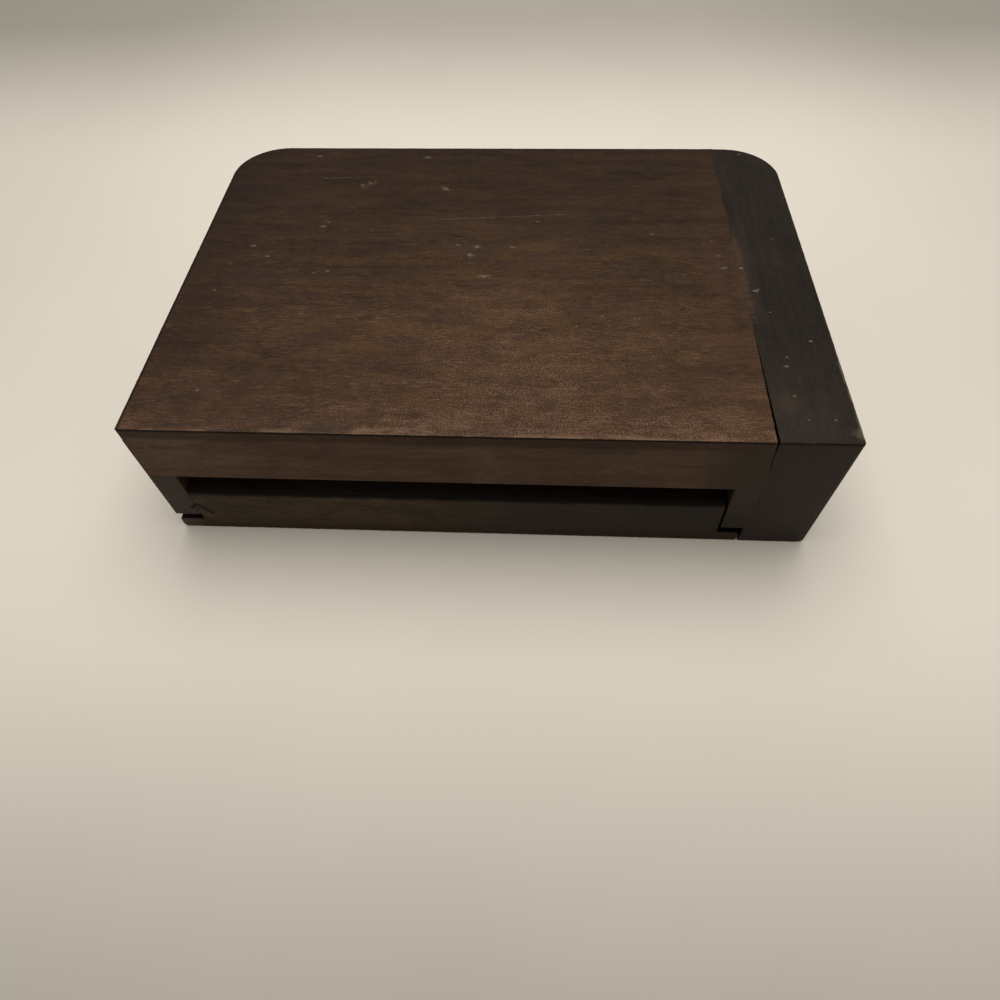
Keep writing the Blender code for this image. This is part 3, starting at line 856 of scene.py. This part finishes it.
def in_crack(f, outside, within):
    """1 on the faces inside the opened joint, where shade is painted: x from the seam between
    two values in mm, and a little below the top and behind the front."""
    down, behind = TOP / MM - f.z, f.y - FRONT / MM
    return (f.x - SEAM / MM).between(outside, within) * down.between(0.2, 0.5) * behind.between(0.1, 0.4)


def under_arris(f):
    """1 on a line of a millimetre under the front top arris, where the light never comes."""
    down, behind = TOP / MM - f.z, f.y - FRONT / MM
    return down.between(1.3, 0.7) * behind.between(0.5, 0.2) * down.between(0.0, 0.2)


print("near-black in shader numbers:", [round(v, 4) for v in colour(19, 15, 12)])

# %% [markdown]
# What lies over the black is mixed in from the widest to the smallest: the crept brown with
# its ragged edge, the rubbed arrises with a painted highlight on them, a pale worn corner with a
# painted highlight, one thin line of painted highlight, painted shade under the front arris and
# inside the crack, and the specks. A mix can only cover what is below it, so the order is the
# order of the layers.

# %% Strip finish
def strip_finish(name):
    """The near-black, with rubbed arrises and a painted highlight along them, specks, the crept
    brown, and painted shade under the front arris and in the crack. Every layer is a mix by a
    share from 0 to 1, which is a place times a pattern."""
    f = Finish(name, Roughness=0.45, Specular_IOR_Level=0.06)
    top, front, right, seam = TOP / MM, FRONT / MM, RIGHT / MM, SEAM / MM
    wood, relief, on_top = black_coat(f)[:3]
    crept = f.y.between(28.0, 14.0) * f.y.between(-36.0, -22.0) * on_top
    edge = (f.x - seam + f.noise((2.5, 2.0, 3), (1.0, 1.0, 1.0), 4.0, 0.7) * 6.0).between(5.8, 4.4)
    pores = f.noise((2.8, 0.5, 0.5), (3.1, 7.7, 1.3), 3.0, 0.7)
    creep = f.mix(pores.between(0.35, 0.7), colour(40, 29, 21), colour(76, 56, 40))
    wood = f.mix(crept * edge, wood, creep)
    spot = f.near((105.0, -72.0, top)).between(7.0, 1.0) * on_top
    wide = crept * (f.x - seam).between(8.0, 2.0) + spot
    wood = f.mix(wide * pores * 0.4, wood, colour(76, 61, 47))
    above = (top - f.z).at_least(right - f.x).at_most((top - f.z).at_least(f.y - front) + 0.3)
    # rubbed right and front arrises, pale partly from wear and partly as a painted highlight
    rub = (above + f.noise((3, 9, 3), (3.0, 3.0, 3.0), 3.0, 0.6) * 2.2).between(1.9, 0.8)
    wood = f.mix(rub * 0.45, wood, colour(104, 94, 82))
    # a worn pale spot at the front right corner, with a painted highlight on it
    corner = (f.near((126.7, -86.0, top)) + f.noise((2, 3, 2), detail=3.0) * 6).between(7.0, 4.0) * on_top
    wood = f.mix(corner * 0.35, wood, colour(112, 100, 86))
    # a painted highlight: a thin pale line along the right arris
    thin = line_spot(f.x, f.y, (126.3, -52.0), (126.5, -88.0), 0.6)
    thin = thin * f.noise((3, 9, 3), (5.0, 1.0, 1.0), 2.0).between(0.42, 0.55) * on_top
    wood = f.mix(thin * 0.35, wood, colour(124, 112, 98))
    # painted shade: under the front top arris and inside the opened joint
    wood = f.mix(most([under_arris(f) * 0.7, in_crack(f, 0.3, 0.1) * 0.95]), wood, colour(12, 10, 9))
    dust = specks(f, STRIP_SPECKS, top) * on_top
    wood = f.mix(dust * 0.5, wood, colour(136, 128, 116))
    f.link("Base Color", wood)
    f.link("Roughness", 0.44 + relief * 0.4 + dust * 0.3)
    f.bump(relief + dust * 0.5, 0.08)
    return f


black = strip_finish("blackened_strip")
black.paint(end_strip)
print("blackened strip:", len(black.tree.nodes), "nodes")

# %% [markdown]
# ### The brown board and rail
#
# The board is lightest along the front, where hands and light have bleached it and painted
# light adds to that, and darkest at the back, where shade is painted, and along the left end.
# At the front right the coat is so thin that the pores show as sand. The rail below takes less
# light and is a plainer brown. Each such place is a share that grows towards it, and all the
# layers of the coat use the same shares.

# %% Places on the board
def brown_places(f):
    """Shares from 0 to 1: depth from front to back and side from the left end to the joint.
    middle and ahead are soft diamonds, from |side - s| plus a multiple of |depth - d|."""
    p = SimpleNamespace()
    p.depth = (f.y - FRONT / MM) * (MM / (BACK - FRONT))
    p.side = (f.x - LEFT / MM) * (MM / (SEAM - LEFT))
    p.on_top = (f.z - TOP / MM).between(-0.6, -0.2)
    p.on_edge = 1 - p.on_top
    p.forward = 1 - p.depth.between(-0.05, 0.75)
    p.middle = (abs(p.side - 0.6) + abs(p.depth - 0.3) * 1.3).between(0.55, 0.0)
    p.ahead = (p.depth + abs(p.side - 0.66) * 0.45).between(0.42, 0.0)
    p.calm = p.depth.between(0.3, 0.75) * p.on_top
    return p


print("the board's top face in mm:", round((SEAM - LEFT) / MM, 1), "by", round((BACK - FRONT) / MM, 1))

# %% [markdown]
# The tone of the coat is one number, the sum of the wood's patterns. A weight that depends
# on the place makes the same wood sandy in front, streaky in the middle and calm behind.

# %% Tone of the brown coat
def brown_tone(f, p):
    """Tone, from 0 for dark to 1 for pale: the weighted sum of streaks, fibres, hair, sand,
    clouds, blots and bands, plus a level for the place. The relief and the roughness are
    weighted sums of the same patterns. Returns tone, blots, relief and roughness."""
    streaks, fibres, hair, sand = grain_parts(f, 0, (3.1, 7.7, 1.3))
    clouds = f.noise((40, 16, 16), (1.7, 0.4, 2.2), 3.0, 0.6, 0.5) - 0.5
    bands = f.noise((95, 6.5, 6.5), (1.3, 2.9, 0.4), 2.0, 0.5, 0.6) - 0.5
    blots = f.noise((13, 8, 8), (2.2, 6.1, 4.4), 4.0, 0.7, 0.8) - 0.5
    edge = (f.y - FRONT / MM).between(16.0, 0.0)
    # lighter to the front: bleached wood and painted light together
    bleached_and_lit = p.forward * 0.20 + edge * 0.12 + p.middle * 0.12 + p.ahead * 0.14
    sandy = 0.9 + p.ahead * 1.4 + p.middle * 1.1
    patch = (abs(f.x + 1.0) + abs(f.z - 48.0) * 0.5).between(16.0, 3.0) + f.x.between(-70.0, -115.0)
    tone = streaks * 0.35 + fibres * (0.55 - p.calm * 0.25 - p.on_edge * 0.2)
    tone = tone + hair * (0.85 - p.ahead * 0.3 - p.calm * 0.4 - p.on_edge * 0.35)
    tone = tone + sand * (0.25 + sandy * (1 - p.calm * 0.45) * p.on_top) + clouds * 0.4
    tone = tone + blots * (0.1 + p.forward * p.on_top * 0.6) + bands * 0.35
    tone = tone + 0.36 + (bleached_and_lit - 0.19) * p.on_top + (0.29 + patch * 0.09) * p.on_edge
    relief = fibres * 0.4 + hair * 0.4 + streaks * 0.25 + sand * sandy * 0.5
    return tone, blots, relief, 0.54 + fibres * 0.2 + sand * 0.25


print("tone on top where nothing has bleached it:", round(0.36 - 0.19, 2))

# %% [markdown]
# Two mixes turn the tone into brown. More mixes let the stain wander between an ochre and a
# purple brown, put dark pits where pores are open, take the stain off single fibres, darken
# the left end and a few patches, and paint shade over the back.

# %% Stain of the brown coat
def stained(f, p, tone, blots):
    """The colour, by mixes that each take in a colour by a share: a place times a pattern."""
    on_top, side, depth = p.on_top, p.side, p.depth
    hue = f.noise((17, 8, 8), (5.2, 3.3, 0.1), 4.0, 0.65, 0.4)
    wood = f.mix(tone.between(-0.1, 0.5), colour(36, 26, 19), colour(70, 51, 36))
    wood = f.mix(tone.between(0.45, 1.1), wood, colour(124, 94, 76))
    wood = f.mix(hue.between(0.5, 0.66) * (0.25 + p.middle * 0.1), wood, colour(80, 58, 34))
    wood = f.mix(hue.between(0.48, 0.34) * 0.35, wood, colour(66, 46, 41))
    leftward = side.between(0.5, 0.08) * (hue.between(0.62, 0.42) * 0.7 + 0.3) * on_top
    wood = f.mix(leftward * 0.22, wood, colour(44, 29, 27))
    wood = f.mix(p.middle * hue.between(0.42, 0.58) * on_top * 0.14, wood, colour(104, 74, 44))
    wood = f.mix(blots.between(-0.02, -0.2) * p.forward * on_top * 0.4, wood, colour(56, 42, 37))
    wood = f.mix(p.on_edge * 0.28, wood, colour(70, 61, 55))
    pits = f.noise((0.7, 0.55, 0.55), (4.9, 0.3, 8.2), 2.0, 0.7).between(0.55, 0.7)
    wood = f.mix(pits * (0.2 + p.ahead * 0.4 + p.middle * 0.2) * on_top, wood, colour(36, 25, 21))
    bare = f.noise((26, 9, 9), (8.8, 1.9, 4.2), 2.0).between(0.42, 0.62)
    flecks = f.noise((4.2, 0.5, 0.5), (6.1, 3.7, 0.5), 2.0, 0.6, 0.3).between(0.56, 0.72)
    wood = f.mix(flecks * (0.2 + bare * 0.8) * (0.36 - p.calm * 0.22), wood, colour(134, 104, 72))
    wood = f.mix(side.between(0.9, 0.98) * on_top * 0.1, wood, colour(84, 56, 38))
    # painted shade: the top darkens towards the back
    wood = f.mix(depth.between(0.5, 0.95) * on_top * 0.36, wood, colour(30, 21, 15))
    corner = side.between(0.15, 0.03) * depth.between(0.1, 0.2) * on_top
    wood = f.mix(corner * 0.32, wood, colour(30, 22, 17))
    shade = most([line_spot(f.x, f.y, *line) for line in SHADES])
    return f.mix(shade * on_top * 0.3, wood, colour(44, 33, 29))


print("red of the dark, the mid and the pale brown:", [round(colour(v, 0, 0)[0], 3) for v in (36, 70, 124)])

# %% [markdown]
# The front arris is rubbed light in places and darker in others. The arrises at the left and
# the back are dark, and so are the board's edge below its front arris and the inside of the
# crack: these dark lines are painted shade where the light doesn't reach. The rubbed places
# are where fingers reach.

# %% Arrises and edges
def worn_and_dark(f, p, wood):
    """Mixes in the rubbed lines, the darkened stretches of the front arris, and the dark lines of
    painted shade at the left and back arrises and edges, inside the crack and under the front
    arris. above is the distance in mm from the front top arris, the larger of the way down and
    the way back."""
    top, front, left, back, on_top = TOP / MM, FRONT / MM, LEFT / MM, BACK / MM, p.on_top
    above = (top - f.z).at_least(f.y - front)
    worn = f.noise((11, 3, 3), (8.0, 1.0, 1.0), 3.0, 0.6)
    rub = (above + worn * 2.6).between(2.1, 1.0)
    wood = f.mix(rub * on_top * 0.3, wood, colour(128, 104, 82))
    rubbed = most([line_spot(f.x, f.y + worn * 2.5, *line) for line in RUBBED])
    wood = f.mix(rubbed * worn.between(0.62, 0.42) * on_top * 0.24, wood, colour(142, 116, 94))
    darkened = most([line_spot(f.x, f.y + worn * 2.5, *line) for line in DARKENED])
    wood = f.mix(darkened * on_top * 0.6, wood, colour(50, 42, 38))
    # painted shade: dark lines along the left and back top arrises and round the corner's arc
    centre = (left + CORNER / MM, back - CORNER / MM, top)
    arc = f.near(centre).between(CORNER / MM - 1.5, CORNER / MM - 0.6)
    arc = arc * f.x.between(centre[0], centre[0] - 3) * f.y.between(centre[1], centre[1] + 3)
    outer = most([(f.x - left).between(1.6, 0.7), (back - f.y).between(1.5, 0.6), arc]) * on_top
    wood = f.mix(outer * 0.7, wood, colour(22, 16, 13))
    # painted shade inside the opened joint
    wood = f.mix(in_crack(f, -1.3, -1.0) * 0.95, wood, colour(6, 4, 3))
    # painted shade on the board's edges at the left and the back
    aside = (f.x - left).between(0.9, 0.3).at_least((back - f.y).between(0.9, 0.3)) * p.on_edge
    wood = f.mix(aside * 0.45, wood, colour(34, 25, 19))
    band = (f.z + f.noise((14, 4, 4), (2.0, 2.0, 2.0)) * 1.6).between(56.8, 58.4) * p.on_edge
    wood = f.mix(band * 0.5, wood, colour(42, 33, 28))
    # painted shade under the front top arris
    return f.mix(under_arris(f) * 0.85, wood, colour(10, 8, 7))


print("rubbed stretches:", len(RUBBED), "grimy stretches:", len(DARKENED), "dark patches:", len(SHADES))

# %% [markdown]
# The strip's black was brushed on over the right end of the front, and ends in a ragged line
# that slants. The specks and scrapes come last, because they lie on everything else.

# %% Brown finish
def brown_finish(name):
    """The brown of the top board and the rail, with the grain from left to right. The black
    grows as x, less a slant of 0.15 times the height and plus a wander, goes from 72 to 92 mm."""
    f = Finish(name, Roughness=0.5, Specular_IOR_Level=0.04)
    p = brown_places(f)
    tone, blots, relief, rough = brown_tone(f, p)
    wood = worn_and_dark(f, p, stained(f, p, tone, blots))
    coat = black_coat(f)[0]
    wander = f.noise((5, 5, 7), (0.3, 0.1, 0.7), 3.0) * 6 - (f.z - 35) * 0.15
    brushed = (f.x + wander).between(72.0, 92.0) * (f.z - TOP / MM).between(-0.5, -3.0)
    wood = f.mix(brushed, wood, f.mix(0.45, coat, colour(72, 60, 50)))
    dust = specks(f, SPECKS, TOP / MM) * p.on_top
    broken = f.noise((2.4, 0.7, 0.8), (4.0, 4.0, 4.0), 2.0, 0.7).between(0.40, 0.62)
    scraped = most([line_spot(f.x, f.y, *line) for line in SCRAPES]) * broken * p.on_top
    wood = f.mix(scraped * 0.3, wood, colour(126, 106, 84))
    wood = f.mix(dust * broken * 0.45, wood, colour(140, 128, 114))
    f.link("Base Color", wood)
    f.link("Roughness", rough + dust * 0.25)
    f.bump(relief + dust * 0.5, 0.12)
    return f


brown = brown_finish("stained_brown")
brown.paint(top_board, front_rail)
print("stained brown:", len(brown.tree.nodes), "nodes")

# %% [markdown]
# ### Walls, back and tray front
#
# At the tray's lower left a flake has split off, and the crack runs on into the wall's foot.
# It is a thin dark line, so it is drawn as colour and relief along two short lines and not
# cut into two meshes that would have to match. Both finishes call it.

# %% Split flake
FLAKE = (((-118.6, 14.0), (-115.3, 16.6), 1.5), ((-115.3, 16.6), (-111.3, 10.8), 1.5))


def split_flake(f):
    """The flake's edge and the paler wood that it bared below, as shares on the front faces.
    The edge is where the distance to the lines of FLAKE, made ragged by a noise, is small."""
    on_front = (f.y - FRONT / MM).between(0.9, 0.2)
    ragged = (f.noise((1.5, 1.5, 1.5), detail=3.0) - 0.5) * 1.6
    edge = most([line_spot(f.x + ragged, f.z - ragged, *line) for line in FLAKE]).between(0.15, 0.6)
    return edge * on_front, line_spot(f.x, f.z, (-116.5, 11.5), (-112.5, 9.0), 3.0) * on_front


print("lines of the split flake:", len(FLAKE))

# %% [markdown]
# The walls and the back carry a thinner coat than the top. The left foot is greyed by dust,
# the right one wears the strip's black.

# %% Thin coats of the walls
def thin_coat(name, grain, dark, light, shift):
    """A thin coat of stain: a weighted sum of the wood's patterns picks the colour between
    dark and light. Returns the finish, the colour and the relief."""
    f = Finish(name, Roughness=0.5, Specular_IOR_Level=0.1)
    streaks, fibres, hair, sand = grain_parts(f, grain, shift)
    clouds = f.noise((30, 22, 14), shift, 3.0, 0.55, 0.3) - 0.5
    tone = streaks * 0.45 + fibres * 0.6 + hair * 0.7 + sand * 0.5 + clouds * 0.6 + 0.48
    wood = f.mix(tone.between(0.0, 1.0), dark, light)
    return f, wood, fibres * 0.35 + hair * 0.3 + sand * 0.25


def left_wall_finish():
    """Grey-brown, its front foot greyer, with the end of the split."""
    dark, light = colour(34, 25, 19), colour(72, 54, 40)
    f, wood, relief = thin_coat("grey_brown_wall", 1, dark, light, (4.4, 0.2, 3.9))
    foot = (f.y - FRONT / MM).between(1.5, 0.3)
    wood = f.mix(foot * 0.6, wood, colour(60, 49, 41))
    edge = split_flake(f)[0]
    wood = f.mix(edge * 0.97, wood, colour(6, 4, 3))
    f.link("Base Color", wood)
    f.link("Roughness", 0.52 + relief * 0.4)
    f.bump(relief - edge * 2.0, 0.12)
    return f


def right_wall_finish():
    """The strip's black, a little browner towards the rail."""
    f = Finish("blackened_foot", Roughness=0.5, Specular_IOR_Level=0.05)
    coat, relief = black_coat(f)[:2]
    coat = f.mix(f.z.between(14.0, 26.0) * 0.3, coat, colour(70, 58, 48))
    f.link("Base Color", coat)
    f.link("Roughness", 0.46 + relief * 0.4)
    f.bump(relief, 0.08)
    return f


def back_finish():
    """The plain thin coat, with the grain from left to right."""
    dark, light = colour(34, 25, 19), colour(72, 53, 39)
    f, wood, relief = thin_coat("stained_back", 0, dark, light, (9.1, 5.5, 0.7))
    f.link("Base Color", wood)
    f.link("Roughness", 0.5 + relief * 0.4)
    f.bump(relief, 0.12)
    return f


for make_finish, wall in (
    (left_wall_finish, left_wall), (right_wall_finish, right_wall), (back_finish, back_wall),
):
    finish = make_finish()
    finish.paint(wall)
    print(finish.material.name, "has", len(finish.tree.nodes), "nodes")

# %% [markdown]
# The tray's front is darker to the right, goes warm and reddish along its foot, and fades
# into the slot's shadow along its top, a ragged dark band of painted shadow. A few reddish
# crumbs lie in that band.

# %% Tray front finish
def tray_front_finish():
    """Brown to dark grey. Every layer is a mix by a share: the darker right end, the foot, the
    painted shadow of the slot along the top, the painted shade under the ears, the crumbs and
    the split flake."""
    dark, light = colour(32, 25, 17), colour(80, 62, 43)
    f, wood, relief = thin_coat("tray_front_coat", 0, dark, light, (2.9, 8.2, 5.6))
    top, front = TRAY_TOP / MM, FRONT / MM
    on_front = (f.y - front).between(1.2, 0.4)
    wood = f.mix(f.x.between(-70.0, 60.0) * 0.75, wood, colour(36, 30, 25))
    foot = (f.z + f.noise((14, 4, 2), (1.0, 5.0, 1.0), 3.0) * 2.5).between(7.5, 3.0)
    wood = f.mix(foot * 0.75, wood, colour(47, 28, 18))
    wood = f.mix(f.x.between(-116.0, -121.0) * on_front * 0.6, wood, colour(76, 62, 51))
    ragged = (f.noise((7, 3, 1.6), (7.0, 3.0, 2.0), 4.0, 0.7) - 0.5) * 3.2
    # painted shadow of the slot under the rail: a ragged dark band along the top
    slot_shade = (f.z + ragged).between(top - 2.8, top - 0.9)
    wood = f.mix(slot_shade * (0.45 + on_front * 0.48), wood, colour(9, 6, 5))
    # painted shade on the ears' top faces, under the wall's foot
    ear_shade = f.z.between(4.7, 5.2) * f.z.between(6.2, 5.7) * (f.y - front).between(0.15, 0.5)
    wood = f.mix(ear_shade * 0.9, wood, colour(10, 6, 4))
    crumbs = f.noise((2.2, 1.0, 0.8), (3.0, 1.0, 9.0), 2.0, 0.7).between(0.66, 0.76) * slot_shade * on_front
    wood = f.mix(crumbs * 0.6, wood, colour(92, 46, 34))
    edge, bared = split_flake(f)
    wood = f.mix(bared * 0.3, wood, colour(80, 68, 56))
    wood = f.mix(edge * 0.97, wood, colour(6, 4, 3))
    f.link("Base Color", wood)
    f.link("Roughness", 0.52 + relief * 0.4 + slot_shade * 0.25)
    f.bump(relief - edge * 2.5, 0.12)
    return f


tray_coat = tray_front_finish()
tray_coat.paint(tray_front)
print(tray_coat.material.name, "has", len(tray_coat.tree.nodes), "nodes")

# %% [markdown]
# ## Inside the tray
#
# The tray's own boards and the dowels were never stained: plain red hardwood. The packed
# boards are kept as they are, and get the wood as a finish. Red felt lies on the floor.

# %% Bare wood
def bare_wood(name, grain, shift, dark=(88, 50, 35), light=(152, 100, 72)):
    """Unstained red hardwood, planed: a weighted sum of the wood's patterns picks the colour
    between dark and light."""
    f = Finish(name, Roughness=0.6, Specular_IOR_Level=0.3)
    streaks, fibres, hair, sand = grain_parts(f, grain, shift)
    tone = streaks * 0.8 + fibres * 0.5 + hair * 0.5 + sand * 0.35 + 0.5
    wood = f.mix(tone.between(0.0, 1.0), colour(*dark), colour(*light))
    f.link("Base Color", wood)
    f.link("Roughness", 0.6 + fibres * 0.25 + sand * 0.2)
    f.bump(fibres * 0.4 + hair * 0.35 + sand * 0.3, 0.1)
    return f


def paint_packed(finish, *names):
    """Gives packed boards, found by their names in the frame, a finish."""
    finish.paint(*(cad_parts[name] for name in names))
    print(finish.material.name, "on", len(names), "packed pieces")


across_wood = bare_wood("bare_wood_across", 0, (3.3, 0.8, 6.6))
deep_wood = bare_wood("bare_wood_front_to_back", 1, (7.1, 2.4, 0.9))
upright_wood = bare_wood("bare_wood_upright", 2, (1.2, 4.8, 2.2))
handled_wood = bare_wood("handled_wood", 0, (5.3, 1.8, 2.6), (50, 32, 24), (98, 64, 46))
paint_packed(handled_wood, "tray_base")
paint_packed(across_wood, "tray_back", "strip_dowel_front", "strip_dowel_middle", "strip_dowel_rear")
paint_packed(
    deep_wood, "tray_left_side", "tray_right_side", "tray_left_runner", "tray_right_runner",
    "tray_dowel_left_lower", "tray_dowel_left_upper", "tray_dowel_right_lower", "tray_dowel_right_upper",
)
paint_packed(upright_wood, "left_corner_block", "right_corner_block", "rail_dowel_left", "rail_dowel_right")

# %% [markdown]
# Felt has no grain: its fibres lie every way, it takes no gloss, and it is never quite flat
# where it is glued down. The sheet is a thin slab with low waves on its upper face. It is
# laid flat and never folds, so it needs no cloth simulation.

# %% Felt lining
felt_low, felt_high = corners_of("tray_lining")
FELT_MARGIN, FELT_DROP = 0.1 * MM, 0.15 * MM


def felt_loops(rows, columns):
    """Upper face: a grid whose height is the lining's thickness, less 0.15 mm times an
    unevenness of 20 mm. It is carried as rows from left to right, each a closed loop that
    goes along the top and back along the bottom."""
    x = np.linspace(felt_low[0] + FELT_MARGIN, felt_high[0] - FELT_MARGIN, columns)
    y = np.linspace(felt_low[1] + FELT_MARGIN, felt_high[1] - FELT_MARGIN, rows)
    grid = np.stack(np.meshgrid(x, y, indexing="ij"), -1)
    drop = FELT_DROP * (1 + ripple(grid, 20 * MM, 71))
    upper = np.concatenate([grid, (felt_high[2] - drop)[..., None]], -1)
    lower = np.concatenate([grid, np.full((*grid.shape[:2], 1), felt_low[2])], -1)
    return np.concatenate([upper, lower[:, ::-1]], 1)


felt = make_piece("felt_lining", [felt_loops(110, 140)], "tray", ["tray_lining"])

# %% [markdown]
# The felt's colour is a fine fuzz between a dark and a lighter red, faded in soft patches
# where things have lain. Sheen stands for the light that loose fibres catch.

# %% Felt finish
cloth = Finish("red_felt", Roughness=0.95, Sheen_Weight=0.25, Sheen_Roughness=0.5)
fuzz = cloth.noise((0.5, 0.5, 0.5), detail=3.0, roughness=0.7)
worn = cloth.noise((26, 26, 26), (1.0, 2.0, 3.0), 3.0)
red = cloth.mix(fuzz.between(0.25, 0.75), colour(66, 14, 18), colour(110, 28, 32))
red = cloth.mix(worn.between(0.5, 0.8) * 0.35, red, colour(122, 52, 48))
cloth.link("Base Color", red)
cloth.bump(fuzz, 0.3)
cloth.paint(felt)
print("felt:", len(cloth.tree.nodes), "nodes")

# %% [markdown]

# %% [markdown]
# ## Floor, light and camera
#
# The box stands on a plain warm white sheet. Its colour falls off to the front and to the
# back, as a sheet that is lit from above does, and that is part of the floor's colour here,
# so that the light on the box can stay plain.

# %% Floor
FLOOR_DROP = 0.1 * MM


def plain_floor(size):
    """A square of a given size in metres, a tenth of a millimetre under z = 0, so that it
    never shares a plane with the boards that stand on it."""
    ways = ((-1, -1), (1, -1), (1, 1), (-1, 1))
    corners = [(x * size / 2, y * size / 2, -FLOOR_DROP) for x, y in ways]
    mesh = bpy.data.meshes.new("floor")
    mesh.from_pydata(corners, [], [(0, 1, 2, 3)])
    floor = bpy.data.objects.new("floor", mesh)
    bpy.context.scene.collection.objects.link(floor)
    floor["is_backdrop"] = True
    return floor


floor = plain_floor(12.0)
paper = Finish("floor_paper", Roughness=0.85)
away = paper.y.between(-110.0, -300.0) * 0.88 + paper.y.between(180.0, 430.0) * 0.85
away = away + abs(paper.x).between(125.0, 330.0) * paper.y.between(-90.0, 30.0) * 0.2
mottle = paper.noise((90, 90, 90), (0.2, 0.7, 0.1), 3.0) - 0.5
shade = (away + mottle * 0.1).at_least(0.0).at_most(1.0)
paper.link("Base Color", paper.mix(shade, colour(222, 214, 201), colour(158, 152, 141)))
paper.bump(paper.noise((0.9, 0.9, 0.9), detail=3.0), 0.02)
paper.paint(floor)
print("floor in m:", [round(v, 2) for v in floor.dimensions])

# %% [markdown]
# One large soft lamp above and a little behind the box makes the top lighter than the front
# and lays a soft shadow before it. A dim white room fills the shadows.

# %% Light
def area_light(name, place, target, width, power, tint):
    """A square lamp at a place that faces a target: it shines along its own -z, so it is
    tipped by the angle between -z and the way to the target, and turned to that way."""
    lamp = bpy.data.lights.new(name, "AREA")
    lamp.shape, lamp.size, lamp.energy, lamp.color = "SQUARE", width, power, tint
    item = bpy.data.objects.new(name, lamp)
    bpy.context.scene.collection.objects.link(item)
    item.location = place
    way = np.array(target) - np.array(place)
    tip, turn = math.acos(-way[2] / np.linalg.norm(way)), math.atan2(way[0], -way[1]) + math.pi
    item.rotation_euler = (tip, 0, turn)
    return item


area_light("soft_box", (0.02, 0.20, 1.0), (0.0, 0.0, 0.0), 1.0, 10.0, (1.0, 0.985, 0.95))
world = bpy.data.worlds.new("room")
bpy.context.scene.world = world
world.use_nodes = True
sky = world.node_tree.nodes["Background"]
sky.inputs["Color"].default_value = (1.0, 0.98, 0.95, 1.0)
sky.inputs["Strength"].default_value = 0.34

lamp_power = bpy.data.lights["soft_box"].energy
print("lamp in W:", lamp_power, "room:", round(sky.inputs["Strength"].default_value, 2))

# %% [markdown]
# The camera is a phone's, held 240 mm above the table. Its place, turn and lens were worked
# out from the box's straight edges in the photograph: they were fitted until the box's corners
# fell on those edges.

# %% Camera
CAMERA_PLACE = (0.01651, -0.23823, 0.24054)
CAMERA_TURN = (34.44, 1.23, 2.53)
camera = bpy.data.objects.new("camera", bpy.data.cameras.new("camera"))
bpy.context.scene.collection.objects.link(camera)
camera.data.sensor_width, camera.data.lens = 36.0, 24.76
camera.data.clip_start = 0.01
camera.location = CAMERA_PLACE
camera.rotation_euler = tuple(math.radians(angle) for angle in CAMERA_TURN)
bpy.context.scene.camera = camera
bpy.context.scene.view_settings.view_transform = "Standard"
print("camera height in mm:", round(CAMERA_PLACE[2] / MM, 1), "lens in mm:", round(camera.data.lens, 2))

# %% [markdown]
# The box is measured again. Dressed, it has to be as large as the packed model.

# %% Finish
new_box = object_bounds()
sizes = [[round((high - low) / MM, 2) for low, high in zip(*box)] for box in (cad_box, new_box)]
print("size before and after in mm:", sizes)
